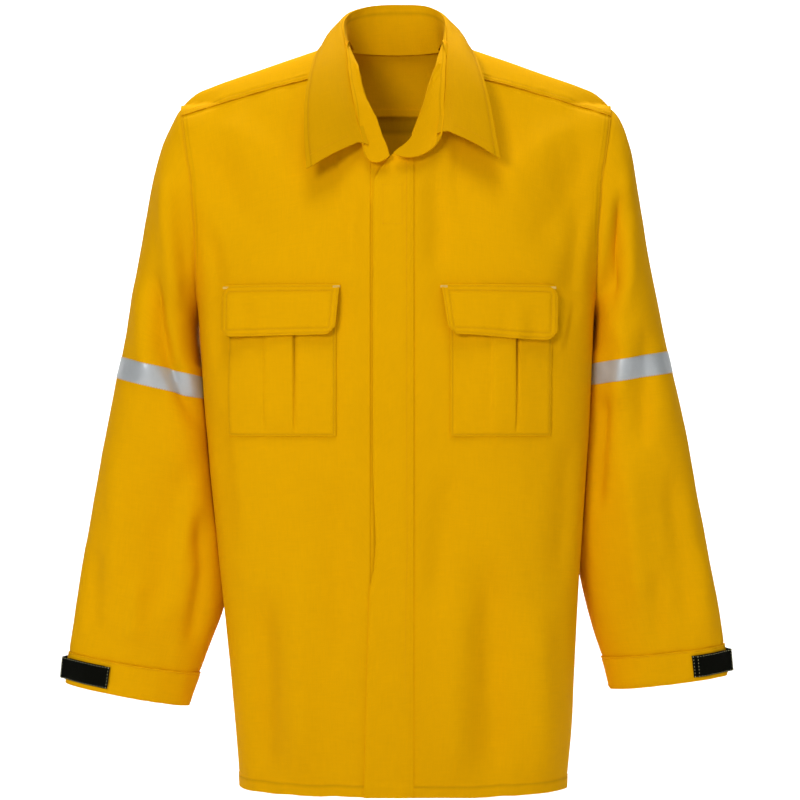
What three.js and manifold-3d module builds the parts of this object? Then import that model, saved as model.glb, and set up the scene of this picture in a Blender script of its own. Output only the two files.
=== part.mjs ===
// A wildland firefighter's coat: a light shirt-cut turnout coat held up as if worn.
// Millimetres, +Z up. -Y is the front, +X the wearer's left.
// The origin is in the middle of the line on which the shoulders rest on a hanger or a wearer.
import * as THREE from "three";
import { mergeVertices } from "three/addons/utils/BufferGeometryUtils.js";
import Module from "manifold-3d";

const wasm = await Module();
wasm.setup();

// ---- driving dimensions -------------------------------------------------------------------
const HEM_Z = -846;
const ARMPIT_Z = -292;
const SHOULDER_TIP_Z = -60;
const SHOULDER_START_Z = -260; // above this the chest and back lean in towards the shoulder line
const BODY_CENTRE_Y = -15;
const FRONT_DEPTH = 105;
const BACK_DEPTH = 108;
const HEM_DEPTH_SCALE = 0.93;
const BODY_SQUARENESS = 2.7; // 2 is an ellipse, higher is boxier
const SHOULDER_ROUNDNESS = 1.6;
const CLOTH = 2.4; // seamed cloth with its allowances
const THIN_CLOTH = 1.6;
const PATCH = 1.5; // one half of a hook-and-loop pair
const GAP = 0.35; // between sewn pieces that lie on each other
const SEAM_GAP = 2; // along a seam between two curved panels
const POUCH_GAP = 2; // behind the rim of a pocket

const NECK_HALF_WIDTH = 66;
const NECK_DEPTH_RATIO = 0.96;
const NECK_TOP_Z = 15;
const SHOULDER_SLOPE = 0.34;
const V_BOTTOM_Z = -118;
const YOKE_FRONT_Z = -29; // front yoke seam beside the neck

const PLACKET_LEFT_X = 18; // seam to the left front
const PLACKET_RIGHT_X = -27; // free edge, over the right front
const FACING_X = [-48, 14];
const RIGHT_FRONT_EDGE_X = -30;
const CLOSURE_Z = [-168, -318, -468, -618, -768];
const CLOSURE_SIZE = { width: 20, height: 48 };

const OPEN_TOP_Z = -150; // a front turns open below this, clear of the collar points
const SWING_TOP = { x: 213, z: OPEN_TOP_Z }; // the line about which a front turns open
const SWING_BOTTOM = { x: 186, z: HEM_Z };

const POCKET = { inner: 64, outer: 188, top: -282, bottom: -441, depth: 11 };
const FLAP = { inner: 57, outer: 192, top: -269, bottom: -327 };

const CUFF_HEIGHT = 35;
const ELBOW_CUT_SLOPE = 0.62; // the room that a bent elbow needs, per mm in front of its pivot
const TAB_HEIGHT = 26;

const CLOTH_COLOUR = 0xe0a300;
const SHADE_COLOUR = 0xcd9100;

// ---- the body's outer surface -------------------------------------------------------------
const lerp = (a, b, t) => a + (b - a) * t;
const clamp = (v, low, high) => Math.min(high, Math.max(low, v));

/** Straight lines through [at, value] pairs given from the highest to the lowest height. */
function along(table, at) {
  if (at >= table[0][0]) return table[0][1];
  for (let i = 1; i < table.length; i += 1) {
    const [lowAt, low] = table[i];
    const [highAt, high] = table[i - 1];
    if (at >= lowAt) return lerp(low, high, (at - lowAt) / (highAt - lowAt));
  }
  return table[table.length - 1][1];
}

const HALF_WIDTHS = [
  [-60, 236],
  [-200, 231],
  [-300, 226],
  [-400, 223],
  [-600, 207],
  [-700, 202],
  [HEM_Z, 191],
];
const halfWidth = (z) => along(HALF_WIDTHS, z);
const depthScale = (z) => along([[-420, 1], [HEM_Z, HEM_DEPTH_SCALE]], z);

/** Height of the shoulder line at x. */
function ridgeZ(x) {
  return NECK_TOP_Z - SHOULDER_SLOPE * Math.max(0, Math.abs(x) - NECK_HALF_WIDTH);
}

/** Depth of the neck hole at x, which the cloth keeps clear of. */
function neckReach(x) {
  return NECK_DEPTH_RATIO * Math.sqrt(Math.max(0, NECK_HALF_WIDTH ** 2 - x * x));
}

/** Share of the full depth that is left at height z, from 1 on the chest to 0 on the shoulder line. */
function leanIn(x, z) {
  const rise = clamp((z - SHOULDER_START_Z) / (ridgeZ(x) - SHOULDER_START_Z), 0, 1);
  return (1 - rise ** SHOULDER_ROUNDNESS) ** (1 / SHOULDER_ROUNDNESS);
}

/** The body's surface at x and z; side is -1 for the front and 1 for the back. */
function bodyY(x, z, side) {
  const across = Math.min(1, Math.abs(x) / halfWidth(z));
  const full = (side < 0 ? FRONT_DEPTH : BACK_DEPTH) * depthScale(z);
  const round = (1 - across ** BODY_SQUARENESS) ** (1 / BODY_SQUARENESS);
  const neck = neckReach(x);
  return BODY_CENTRE_Y + side * (neck + (full * round - neck) * leanIn(x, z));
}

/** Share of the half width at which the surface has come in to a share of its depth. */
const widthShareAtDepth = (share) => (1 - share ** BODY_SQUARENESS) ** (1 / BODY_SQUARENESS);

/** A point near the side, by the share of the depth it lies in front of or behind the middle. */
function sidePoint(depthShare, z, xSign) {
  const x = xSign * halfWidth(z) * widthShareAtDepth(Math.abs(depthShare));
  const side = Math.sign(depthShare) || 1;
  return new THREE.Vector3(x, bodyY(x, z, side), z);
}

const bodyMiddle = (p) => new THREE.Vector3(0, BODY_CENTRE_Y, p.z - 40);

// ---- closed solids from surfaces ----------------------------------------------------------
function makeMesh(name, points, faces, look) {
  const geometry = new THREE.BufferGeometry();
  geometry.setAttribute("position", new THREE.Float32BufferAttribute(points.flatMap((p) => p.toArray()), 3));
  let volume = 0;
  for (const [a, b, c] of faces) {
    volume += points[a].dot(new THREE.Vector3().crossVectors(points[b], points[c]));
  }
  const outward = volume < 0 ? faces.map(([a, b, c]) => [a, c, b]) : faces;
  geometry.setIndex(outward.flat());
  geometry.computeVertexNormals();
  const material = new THREE.MeshStandardMaterial({ roughness: 0.85, metalness: 0, ...look });
  const mesh = new THREE.Mesh(geometry, material);
  mesh.name = name;
  return mesh;
}

/** Unit normals of a grid of points, turned away from the place that `from` gives. */
function gridNormals(grid, from, wraps) {
  const rows = grid.length;
  const columns = grid[0].length;
  return grid.map((row, i) =>
    row.map((p, j) => {
      const up = grid[Math.min(rows - 1, i + 1)][j];
      const down = grid[Math.max(0, i - 1)][j];
      const next = wraps ? row[(j + 1) % columns] : row[Math.min(columns - 1, j + 1)];
      const last = wraps ? row[(j + columns - 1) % columns] : row[Math.max(0, j - 1)];
      const alongRow = new THREE.Vector3().subVectors(next, last);
      const acrossRow = new THREE.Vector3().subVectors(up, down);
      const normal = new THREE.Vector3().crossVectors(alongRow, acrossRow).normalize();
      if (normal.dot(new THREE.Vector3().subVectors(p, from(p))) < 0) normal.negate();
      return normal;
    }),
  );
}

/**
 * A sheet of cloth as a closed solid. `surface(u, v)` gives its outer face for u and v from 0 to 1,
 * `lift` moves the whole sheet off that surface and `thickness` goes inwards.
 */
function clothSheet(name, surface, { u = 6, v = 6, lift = 0, thickness = CLOTH, from = bodyMiddle, look }) {
  const grid = [];
  for (let i = 0; i <= v; i += 1) {
    const row = [];
    for (let j = 0; j <= u; j += 1) row.push(surface(j / u, i / v));
    grid.push(row);
  }
  const normals = gridNormals(grid, from, false);
  const points = [];
  for (const height of [lift, lift - thickness]) {
    grid.forEach((row, i) => {
      row.forEach((p, j) => points.push(p.clone().addScaledVector(normals[i][j], height)));
    });
  }
  const columns = u + 1;
  const inner = columns * (v + 1);
  const faces = [];
  for (let i = 0; i < v; i += 1) {
    for (let j = 0; j < u; j += 1) {
      const a = i * columns + j;
      const b = a + 1;
      const c = a + columns;
      const d = c + 1;
      faces.push([a, b, d], [a, d, c], [inner + a, inner + d, inner + b], [inner + a, inner + c, inner + d]);
    }
  }
  const rim = [];
  for (let j = 0; j < u; j += 1) rim.push(j);
  for (let i = 0; i < v; i += 1) rim.push(i * columns + u);
  for (let j = u; j > 0; j -= 1) rim.push(v * columns + j);
  for (let i = v; i > 0; i -= 1) rim.push(i * columns);
  rim.forEach((a, k) => {
    const b = rim[(k + 1) % rim.length];
    faces.push([a, inner + a, inner + b], [a, inner + b, b]);
  });
  return makeMesh(name, points, faces, look);
}

/** A mesh as a manifold solid, with its shared corners merged. */
function solidOf(mesh) {
  const bare = mesh.geometry.clone();
  bare.deleteAttribute("normal");
  const merged = mergeVertices(bare, 1e-4);
  return new wasm.Manifold(
    new wasm.Mesh({
      numProp: 3,
      vertProperties: merged.attributes.position.array,
      triVerts: new Uint32Array(merged.index.array),
    }),
  );
}

/** Two overlapping stretches of one sheet, sewn into one solid. */
function joined(name, first, second, look) {
  const { vertProperties, triVerts } = solidOf(first).add(solidOf(second)).getMesh();
  const points = [];
  for (let i = 0; i < vertProperties.length; i += 3) points.push(new THREE.Vector3().fromArray(vertProperties, i));
  const faces = [];
  for (let i = 0; i < triVerts.length; i += 3) faces.push([triVerts[i], triVerts[i + 1], triVerts[i + 2]]);
  return makeMesh(name, points, faces, look);
}

/** A hollow tube of cloth through rings of points, open at both ends. */
function clothTube(name, rings, { lift = 0, thickness = CLOTH, from, look }) {
  const normals = gridNormals(rings, from, true);
  const points = [];
  for (const height of [lift, lift - thickness]) {
    rings.forEach((ring, i) => {
      ring.forEach((p, j) => points.push(p.clone().addScaledVector(normals[i][j], height)));
    });
  }
  const sides = rings[0].length;
  const inner = sides * rings.length;
  const faces = [];
  for (let j = 0; j < sides; j += 1) {
    const k = (j + 1) % sides;
    for (let i = 0; i + 1 < rings.length; i += 1) {
      const [a, b, c, d] = [i * sides + j, i * sides + k, (i + 1) * sides + j, (i + 1) * sides + k];
      faces.push([a, b, d], [a, d, c], [inner + a, inner + d, inner + b], [inner + a, inner + c, inner + d]);
    }
    const end = (rings.length - 1) * sides;
    faces.push([j, inner + k, k], [j, inner + j, inner + k]);
    faces.push([end + j, end + k, inner + end + k], [end + j, inner + end + k, inner + end + j]);
  }
  return makeMesh(name, points, faces, look);
}

const group = new THREE.Group();
const cloth = { color: CLOTH_COLOUR };
const shadedCloth = { color: SHADE_COLOUR };
const blackTape = { color: 0x0b0d07, roughness: 0.9 };
const reflective = { color: 0xb4b9bf, roughness: 0.35, metalness: 0.2 };
const SIDES = [
  { word: "left", sign: 1 },
  { word: "right", sign: -1 },
];

// ---- body panels --------------------------------------------------------------------------
const frontYokeSeamZ = (x) => YOKE_FRONT_Z - 0.24 * Math.max(0, Math.abs(x) - NECK_HALF_WIDTH);
const BACK_YOKE_SEAM_Z = -98;
const YOKE_HALF_WIDTH = 233;
const swingX = (z) => lerp(SWING_TOP.x, SWING_BOTTOM.x, (z - SWING_TOP.z) / (SWING_BOTTOM.z - SWING_TOP.z));

/** Height of the neckline on the front at x, from the side of the neck down to the V. */
function frontNecklineZ(x) {
  const share = clamp(Math.abs(x) / (NECK_HALF_WIDTH + 6), 0, 1);
  return lerp(V_BOTTOM_Z, YOKE_FRONT_Z, share ** 1.15);
}

/** Height of a front panel's top edge at x: its neckline, then its seam to the yoke. */
const frontTopZ = (x) => Math.min(frontNecklineZ(x), frontYokeSeamZ(x)) - SEAM_GAP;

/** Share of an armhole's width that is open at height z. */
function armholeOpen(z) {
  const middle = (ARMPIT_Z + SHOULDER_TIP_Z) / 2;
  const half = (SHOULDER_TIP_Z - ARMPIT_Z) / 2;
  return Math.sqrt(Math.max(0, 1 - ((z - middle) / half) ** 2));
}
const ARMHOLE_DEPTH_SHARE = 0.56;
const SIDE_SEAM_SHARE = 0.12; // the side seam lies a little behind the middle

/** The angle about the body's middle at which its surface is x from the centre, at height z. */
const angleAtX = (x, z) => Math.acos(Math.min(1, Math.abs(x) / halfWidth(z)) ** (BODY_SQUARENESS / 2));

/** The angle at which the armhole's front edge or the side seam lies. */
function frontEdgeAngle(z) {
  if (z <= ARMPIT_Z) return -Math.asin(SIDE_SEAM_SHARE ** (BODY_SQUARENESS / 2));
  const share = ARMHOLE_DEPTH_SHARE * armholeOpen(z) * 0.86;
  return Math.asin(share ** (BODY_SQUARENESS / 2));
}

function frontPoint(angle, z, sign) {
  const x = sign * halfWidth(z) * Math.abs(Math.cos(angle)) ** (2 / BODY_SQUARENESS);
  return new THREE.Vector3(x, bodyY(x, z, angle < 0 ? 1 : -1), z);
}

function addFront({ word, sign }) {
  const edge = sign > 0 ? PLACKET_LEFT_X + GAP : RIGHT_FRONT_EDGE_X;
  const swingGap = 2.5;
  const openSurface = (u, v) => {
    const z = lerp(HEM_Z, OPEN_TOP_Z - SEAM_GAP, v);
    const x = lerp(edge, sign * (swingX(z) - swingGap), u);
    return new THREE.Vector3(x, bodyY(x, z, -1), z);
  };
  group.add(clothSheet(`${word}_front`, openSurface, { u: 8, v: 10, look: cloth }));

  // The rest of the same panel stays with the coat: across the chest, and down its armhole and side.
  const topZ = (x) => Math.min(frontTopZ(x), SHOULDER_TIP_Z + (YOKE_HALF_WIDTH - Math.abs(x)) * 0.3 - 6);
  const chestSurface = (u, v) => {
    let z = OPEN_TOP_Z;
    let p = frontPoint(0, z, sign);
    for (let pass = 0; pass < 6; pass += 1) {
      p = frontPoint(lerp(angleAtX(edge, z), frontEdgeAngle(z), u), z, sign);
      p.x = u === 0 ? edge : p.x;
      z = lerp(OPEN_TOP_Z, topZ(p.x), v);
    }
    return new THREE.Vector3(p.x, bodyY(p.x, z, -1), z);
  };
  const sideSurface = (u, v) => {
    const z = lerp(HEM_Z, OPEN_TOP_Z + 3, v);
    const start = angleAtX(Math.min(swingX(z) + 0.8, halfWidth(z) * 0.985), z);
    return frontPoint(lerp(start, Math.min(frontEdgeAngle(z), start - 0.06), u), z, sign);
  };
  const chest = clothSheet("chest", chestSurface, { u: 9, v: 5 });
  const side = clothSheet("side", sideSurface, { u: 4, v: 14 });
  group.add(joined(`${word}_front_upper`, chest, side, cloth));
}
SIDES.forEach(addFront);

/** Angle-like share across the back: 0 at the right side seam or armhole, 1 at the left one. */
const backSurface = (u, v) => {
  const z = lerp(HEM_Z, BACK_YOKE_SEAM_Z - SEAM_GAP, v);
  const seamDepth = SIDE_SEAM_SHARE + 0.03;
  const edgeDepth = z > ARMPIT_Z ? Math.max(seamDepth, ARMHOLE_DEPTH_SHARE * armholeOpen(z)) : seamDepth;
  const edgeAngle = Math.asin(edgeDepth ** (BODY_SQUARENESS / 2));
  const angle = lerp(Math.PI - edgeAngle, edgeAngle, u);
  const across = Math.sign(Math.cos(angle)) * Math.abs(Math.cos(angle)) ** (2 / BODY_SQUARENESS);
  const x = across * halfWidth(z);
  return new THREE.Vector3(x, bodyY(x, z, 1), z);
};
group.add(clothSheet("back_panel", backSurface, { u: 16, v: 12, look: cloth }));

/** The yoke: up the back from its seam, over each shoulder and down to the front seam. */
const yokeSurface = (u, v) => {
  const x = lerp(-YOKE_HALF_WIDTH, YOKE_HALF_WIDTH, u);
  const climb = (z) => clamp((z - SHOULDER_START_Z) / (ridgeZ(x) - SHOULDER_START_Z), 0, 1);
  const angleAt = (z) => Math.asin(climb(z) ** (SHOULDER_ROUNDNESS / 2));
  const back = angleAt(BACK_YOKE_SEAM_Z);
  const overShoulder = clamp((Math.abs(x) - NECK_HALF_WIDTH) / 14, 0, 1);
  const neckEnd = Math.PI / 2 - 0.05;
  const front = Math.PI - angleAt(frontYokeSeamZ(x));
  const angle = lerp(back, lerp(neckEnd, front, overShoulder), v);
  const rise = Math.sin(angle) ** (2 / SHOULDER_ROUNDNESS);
  const z = lerp(SHOULDER_START_Z, ridgeZ(x), rise);
  const reach = Math.abs(Math.cos(angle)) ** (2 / SHOULDER_ROUNDNESS);
  const side = Math.cos(angle) >= 0 ? 1 : -1;
  const full = side < 0 ? FRONT_DEPTH : BACK_DEPTH;
  const across = Math.abs(x) / halfWidth(z);
  const round = (1 - across ** BODY_SQUARENESS) ** (1 / BODY_SQUARENESS);
  const neck = neckReach(x);
  return new THREE.Vector3(x, BODY_CENTRE_Y + side * (neck + (full * round - neck) * reach), z);
};
const belowShoulders = () => new THREE.Vector3(0, BODY_CENTRE_Y, -260);
group.add(clothSheet("back_yoke", yokeSurface, { u: 26, v: 9, from: belowShoulders, look: cloth }));

// ---- front closure ------------------------------------------------------------------------
const frontStrip = (x0, x1, z0, z1) => (u, v) => {
  const x = lerp(x0, x1, u);
  const z = lerp(z0, typeof z1 === "function" ? z1(x) : z1, v);
  return new THREE.Vector3(x, bodyY(x, z, -1), z);
};
const placketTopZ = (x) => lerp(-150, -122, clamp((x - PLACKET_RIGHT_X) / 34, 0, 1));
const placket = frontStrip(PLACKET_RIGHT_X, PLACKET_LEFT_X, HEM_Z, placketTopZ);
group.add(clothSheet("front_placket", placket, { u: 3, v: 20, lift: CLOTH - GAP, look: cloth }));

const layerStep = PATCH + GAP;
const closureLift = -1.1; // the first layer behind the placket
const facingLift = closureLift - 2 * layerStep - GAP;
const facing = frontStrip(FACING_X[0], FACING_X[1], HEM_Z + 2, -152);
group.add(clothSheet("right_front_facing", facing, { u: 3, v: 20, lift: facingLift, look: shadedCloth }));

CLOSURE_Z.forEach((middle, index) => {
  const half = CLOSURE_SIZE.width / 2;
  const patch = frontStrip(-4 - half, -4 + half, middle - CLOSURE_SIZE.height / 2, middle + CLOSURE_SIZE.height / 2);
  const options = { u: 1, v: 2, thickness: PATCH, look: shadedCloth };
  const number = index + 1;
  group.add(clothSheet(`closure_hook_${number}`, patch, { ...options, lift: closureLift }));
  group.add(clothSheet(`closure_loop_${number}`, patch, { ...options, lift: closureLift - layerStep }));
});

// ---- chest pockets ------------------------------------------------------------------------
/** A pouch with its mouth at the top: an outer wall, two sides and a bottom in one solid. */
function pouch(name, sign, look) {
  const { inner, outer, top, bottom, depth } = POCKET;
  const columns = [0, 0.04, 0.35, 0.65, 0.96, 1];
  const rows = [0, 0.03, 0.35, 0.7, 1];
  const profile = (share) => Math.min(1, Math.min(share, 1 - share) / 0.03);
  const surface = (u, v) => {
    const x = sign * lerp(inner, outer, u);
    const z = lerp(bottom, top, v);
    const out = depth * Math.min(profile(u), Math.min(1, v / 0.02));
    const p = new THREE.Vector3(x, bodyY(x, z, -1), z);
    const slope = (bodyY(x + 1, z, -1) - bodyY(x - 1, z, -1)) / 2;
    const normal = new THREE.Vector3(slope, -1, 0).normalize();
    return { base: p.clone().addScaledVector(normal, POUCH_GAP), out, normal };
  };
  const points = [];
  const wall = THIN_CLOTH;
  const cell = (layer, i, j) => layer * rows.length * columns.length + i * columns.length + j;
  for (const layer of [0, 1]) {
    for (const v of rows) {
      for (const u of columns) {
        const s = surface(u, v);
        const inset = { u: lerp(0.022, 0.978, u), v: lerp(0.02, 1, v) };
        const use = layer === 0 ? s : surface(inset.u, inset.v);
        const edge = u === 0 || u === 1 || v === 0;
        const height = edge ? 0 : POCKET.depth - layer * wall;
        points.push(use.base.clone().addScaledVector(use.normal, height));
      }
    }
  }
  const faces = [];
  for (let i = 0; i + 1 < rows.length; i += 1) {
    for (let j = 0; j + 1 < columns.length; j += 1) {
      const [a, b, c, d] = [cell(0, i, j), cell(0, i, j + 1), cell(0, i + 1, j), cell(0, i + 1, j + 1)];
      const shift = rows.length * columns.length;
      faces.push([a, b, d], [a, d, c], [a + shift, d + shift, b + shift], [a + shift, c + shift, d + shift]);
    }
  }
  const last = columns.length - 1;
  const high = rows.length - 1;
  const rim = [];
  for (let j = 0; j < last; j += 1) rim.push(cell(0, 0, j));
  for (let i = 0; i < high; i += 1) rim.push(cell(0, i, last));
  for (let j = last; j > 0; j -= 1) rim.push(cell(0, high, j));
  for (let i = high; i > 0; i -= 1) rim.push(cell(0, i, 0));
  const shift = rows.length * columns.length;
  rim.forEach((a, k) => {
    const b = rim[(k + 1) % rim.length];
    faces.push([a, a + shift, b + shift], [a, b + shift, b]);
  });
  return makeMesh(name, points, faces, look);
}

/** A surface in front of the chest, `out` mm off it at each point. */
const offChest = (sign, x0, x1, z0, z1, out) => (u, v) => {
  const x = sign * lerp(x0, x1, u);
  const z = lerp(z0, z1, v);
  const slope = (bodyY(x + 1, z, -1) - bodyY(x - 1, z, -1)) / 2;
  const normal = new THREE.Vector3(slope, -1, 0).normalize();
  return new THREE.Vector3(x, bodyY(x, z, -1), z).addScaledVector(normal, out(u, v));
};
const inFront = (p) => new THREE.Vector3(p.x, p.y + 100, p.z);

function addPocket({ word, sign }) {
  group.add(pouch(`${word}_pocket`, sign, cloth));
  const patchOut = POUCH_GAP + POCKET.depth + GAP + PATCH;
  const patchGap = 0.8;
  const flapOut = patchOut + patchGap + PATCH + GAP + THIN_CLOTH;
  const flapHeight = FLAP.top - FLAP.bottom;
  const belowTop = (v) => (1 - v) * flapHeight;
  const lid = (u, v) => lerp(THIN_CLOTH + 0.8, flapOut, clamp((belowTop(v) - 1) / 9, 0, 1));
  const flap = offChest(sign, FLAP.inner, FLAP.outer, FLAP.bottom, FLAP.top, lid);
  group.add(clothSheet(`${word}_pocket_flap`, flap, { u: 6, v: 12, thickness: THIN_CLOTH, from: inFront, look: cloth }));
  const middle = (FLAP.inner + FLAP.outer) / 2;
  const patch = (out) => offChest(sign, middle - 20, middle + 20, FLAP.bottom + 8, FLAP.bottom + 28, () => out);
  const options = { u: 2, v: 1, thickness: PATCH, from: inFront, look: shadedCloth };
  group.add(clothSheet(`${word}_flap_hook`, patch(flapOut - THIN_CLOTH - GAP), options));
  group.add(clothSheet(`${word}_pocket_loop`, patch(patchOut), options));
}
SIDES.forEach(addPocket);

// ---- collar -------------------------------------------------------------------------------
/** The neck seam, by an angle from the back (0) round to the left (90) and the front. */
const COLLAR_END = 148;
function neckSeam(degrees) {
  const angle = THREE.MathUtils.degToRad(degrees);
  const turn = Math.abs(degrees) / COLLAR_END;
  const drop = clamp((Math.abs(degrees) - 78) / (COLLAR_END - 78), 0, 1);
  const x = Math.sin(angle) * (NECK_HALF_WIDTH - 4) * lerp(1, 0.92, drop);
  const y = BODY_CENTRE_Y - 4 + Math.cos(angle) * (turn < 0.6 ? 62 : 74);
  return new THREE.Vector3(x, y, lerp(NECK_TOP_Z + 3, -84, drop ** 1.25));
}
const COLLAR_STAND = { back: 42, side: 26 };
const FOLD_HEIGHT = 14; // the leaf folds over this far above the stand
const standHeight = (degrees) => lerp(COLLAR_STAND.back, COLLAR_STAND.side, clamp(Math.abs(degrees) / 90, 0, 1));
const standSurface = (u, v) => {
  const degrees = lerp(-COLLAR_END, COLLAR_END, u);
  const base = neckSeam(degrees);
  const toMiddle = new THREE.Vector3(-base.x, BODY_CENTRE_Y - base.y, 0).normalize();
  const height = standHeight(degrees) * v;
  return base.addScaledVector(toMiddle, 0.2 * height).add(new THREE.Vector3(0, 0, height));
};
const neckAxis = (p) => new THREE.Vector3(0, BODY_CENTRE_Y, p.z - 25);
group.add(clothSheet("collar_stand", standSurface, { u: 28, v: 2, from: neckAxis, look: shadedCloth }));

const LEAF_CLEARANCE = 8;

/** Whether a point is inside the body panels or within a margin of them. */
function nearBody(p, margin) {
  const side = p.y < BODY_CENTRE_Y ? -1 : 1;
  const surface = bodyY(p.x, Math.min(p.z - margin, ridgeZ(p.x)), side);
  return p.z < ridgeZ(p.x) + margin && side * (p.y - surface) < margin;
}

/** The leaf falls outwards from the top of the stand; its points hang lower than its back. */
const leafSurface = (u, v) => {
  const degrees = lerp(-COLLAR_END + 6, COLLAR_END - 6, u);
  const base = neckSeam(degrees);
  const away = new THREE.Vector3(base.x, base.y - BODY_CENTRE_Y, 0).normalize();
  const front = clamp((Math.abs(degrees) - 60) / 80, 0, 1);
  const top = standHeight(degrees) + FOLD_HEIGHT;
  const fall = lerp(top + 3, 62, front) * v;
  const outwards = lerp(-0.2 * standHeight(degrees), 16, v) + 6.5;
  const p = base.addScaledVector(away, outwards).add(new THREE.Vector3(0, 0, top - fall));
  const push = away.clone().multiplyScalar(0.7).add(new THREE.Vector3(0, 0, 0.3));
  while (nearBody(p, LEAF_CLEARANCE)) p.add(push);
  return p;
};
group.add(clothSheet("collar_leaf", leafSurface, { u: 28, v: 3, from: neckAxis, look: cloth }));

// ---- sleeves ------------------------------------------------------------------------------
/**
 * Places down a sleeve: the outer and the inner edge as seen from the front, [x, z] each, then
 * half the depth and where its middle lies in y.
 */
const SLEEVE = [
  { outer: [242, -58], inner: [234, -292], half: 64, y: 2 },
  { outer: [262, -74], inner: [233, -300], half: 70, y: 5 },
  { outer: [276, -112], inner: [233, -314], half: 74, y: 8 },
  { outer: [287, -185], inner: [232, -332], half: 76, y: 12 },
  { outer: [304, -272], inner: [231, -358], half: 76, y: 15 },
  { outer: [321, -349], inner: [230, -374], half: 74, y: 17 },
  { outer: [327, -374], inner: [229, -399], half: 73, y: 17 },
  { outer: [341, -440], inner: [224, -466], half: 68, y: 17 },
];
const FOREARM = [
  { outer: [341.2, -441], inner: [224, -467], half: 68, y: 17 },
  { outer: [357, -525], inner: [217, -552], half: 61, y: 15 },
  { outer: [372, -605], inner: [218, -634], half: 51, y: 12 },
  { outer: [382, -668], inner: [232, -697], half: 41, y: 9 },
  { outer: [386, -693], inner: [242, -720], half: 36, y: 8 },
];
const CUFF = [
  { outer: [388, -695], inner: [242, -722], half: 37, y: 8 },
  { outer: [392, -729], inner: [248, -756], half: 33, y: 8 },
];
const SLEEVE_SIDES = 16;
const SLEEVE_SQUARENESS = 2.3;

function sleeveRing({ outer, inner, half, y }, sign, grow = 0) {
  const middle = new THREE.Vector3((outer[0] + inner[0]) / 2, y, (outer[1] + inner[1]) / 2);
  const across = new THREE.Vector3(outer[0] - inner[0], 0, outer[1] - inner[1]);
  const reach = across.length() / 2 + grow;
  across.normalize();
  const ring = [];
  for (let k = 0; k < SLEEVE_SIDES; k += 1) {
    const angle = (2 * Math.PI * k) / SLEEVE_SIDES;
    const power = 2 / SLEEVE_SQUARENESS;
    const outwards = Math.sign(Math.cos(angle)) * Math.abs(Math.cos(angle)) ** power * reach;
    const depth = Math.sign(Math.sin(angle)) * Math.abs(Math.sin(angle)) ** power * (half + grow);
    const p = middle.clone().addScaledVector(across, outwards).add(new THREE.Vector3(0, depth, 0));
    p.x *= sign;
    ring.push(p);
  }
  return ring;
}

/** The middle of a sleeve beside a point, for turning its faces outwards. */
function insideSleeve(sign, stations) {
  const middles = stations.map(({ outer, inner, y }) => {
    return new THREE.Vector3((sign * (outer[0] + inner[0])) / 2, y, (outer[1] + inner[1]) / 2);
  });
  return (p) => middles.reduce((best, m) => (m.distanceTo(p) < best.distanceTo(p) ? m : best));
}

const ELBOW = { x: 283, y: -8, z: -453.5 };
const ELBOW_TURN_OUT = THREE.MathUtils.degToRad(28);

/** Trims a ring at the elbow by the room that the bend needs in front of its pivot. */
function trimAtElbow(ring, sign, upwards) {
  const forward = new THREE.Vector3(sign * Math.sin(ELBOW_TURN_OUT), -Math.cos(ELBOW_TURN_OUT), 0);
  const pivot = new THREE.Vector3(sign * ELBOW.x, ELBOW.y, ELBOW.z);
  return ring.map((p) => {
    const ahead = Math.max(0, new THREE.Vector3().subVectors(p, pivot).dot(forward));
    const shift = upwards * ELBOW_CUT_SLOPE * ahead;
    return p.clone().add(new THREE.Vector3(sign * -0.18 * shift, 0, shift));
  });
}

/** A place part-way between two places down a sleeve. */
function between(a, b, t) {
  const pair = (p, q) => [lerp(p[0], q[0], t), lerp(p[1], q[1], t)];
  return {
    outer: pair(a.outer, b.outer),
    inner: pair(a.inner, b.inner),
    half: lerp(a.half, b.half, t),
    y: lerp(a.y, b.y, t),
  };
}

function addSleeve({ word, sign }) {
  const upper = SLEEVE.map((place) => sleeveRing(place, sign));
  upper[upper.length - 1] = trimAtElbow(upper[upper.length - 1], sign, 1);
  const lower = FOREARM.map((place) => sleeveRing(place, sign));
  lower[0] = trimAtElbow(lower[0], sign, -1);
  const tube = (name, rings, places, options) => {
    group.add(clothTube(name, rings, { from: insideSleeve(sign, places), ...options }));
  };
  tube(`${word}_sleeve_upper`, upper, SLEEVE, { look: cloth });
  tube(`${word}_sleeve_lower`, lower, FOREARM, { look: cloth });
  tube(`${word}_cuff`, CUFF.map((place) => sleeveRing(place, sign)), CUFF, { look: cloth, thickness: 3 });

  const tapePlaces = [SLEEVE[5], SLEEVE[6]];
  const tapeRings = tapePlaces.map((place) => sleeveRing(place, sign, GAP + 0.9));
  tube(`${word}_reflective_tape`, tapeRings, tapePlaces, { look: reflective, thickness: 0.8 });
}
SIDES.forEach(addSleeve);

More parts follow.
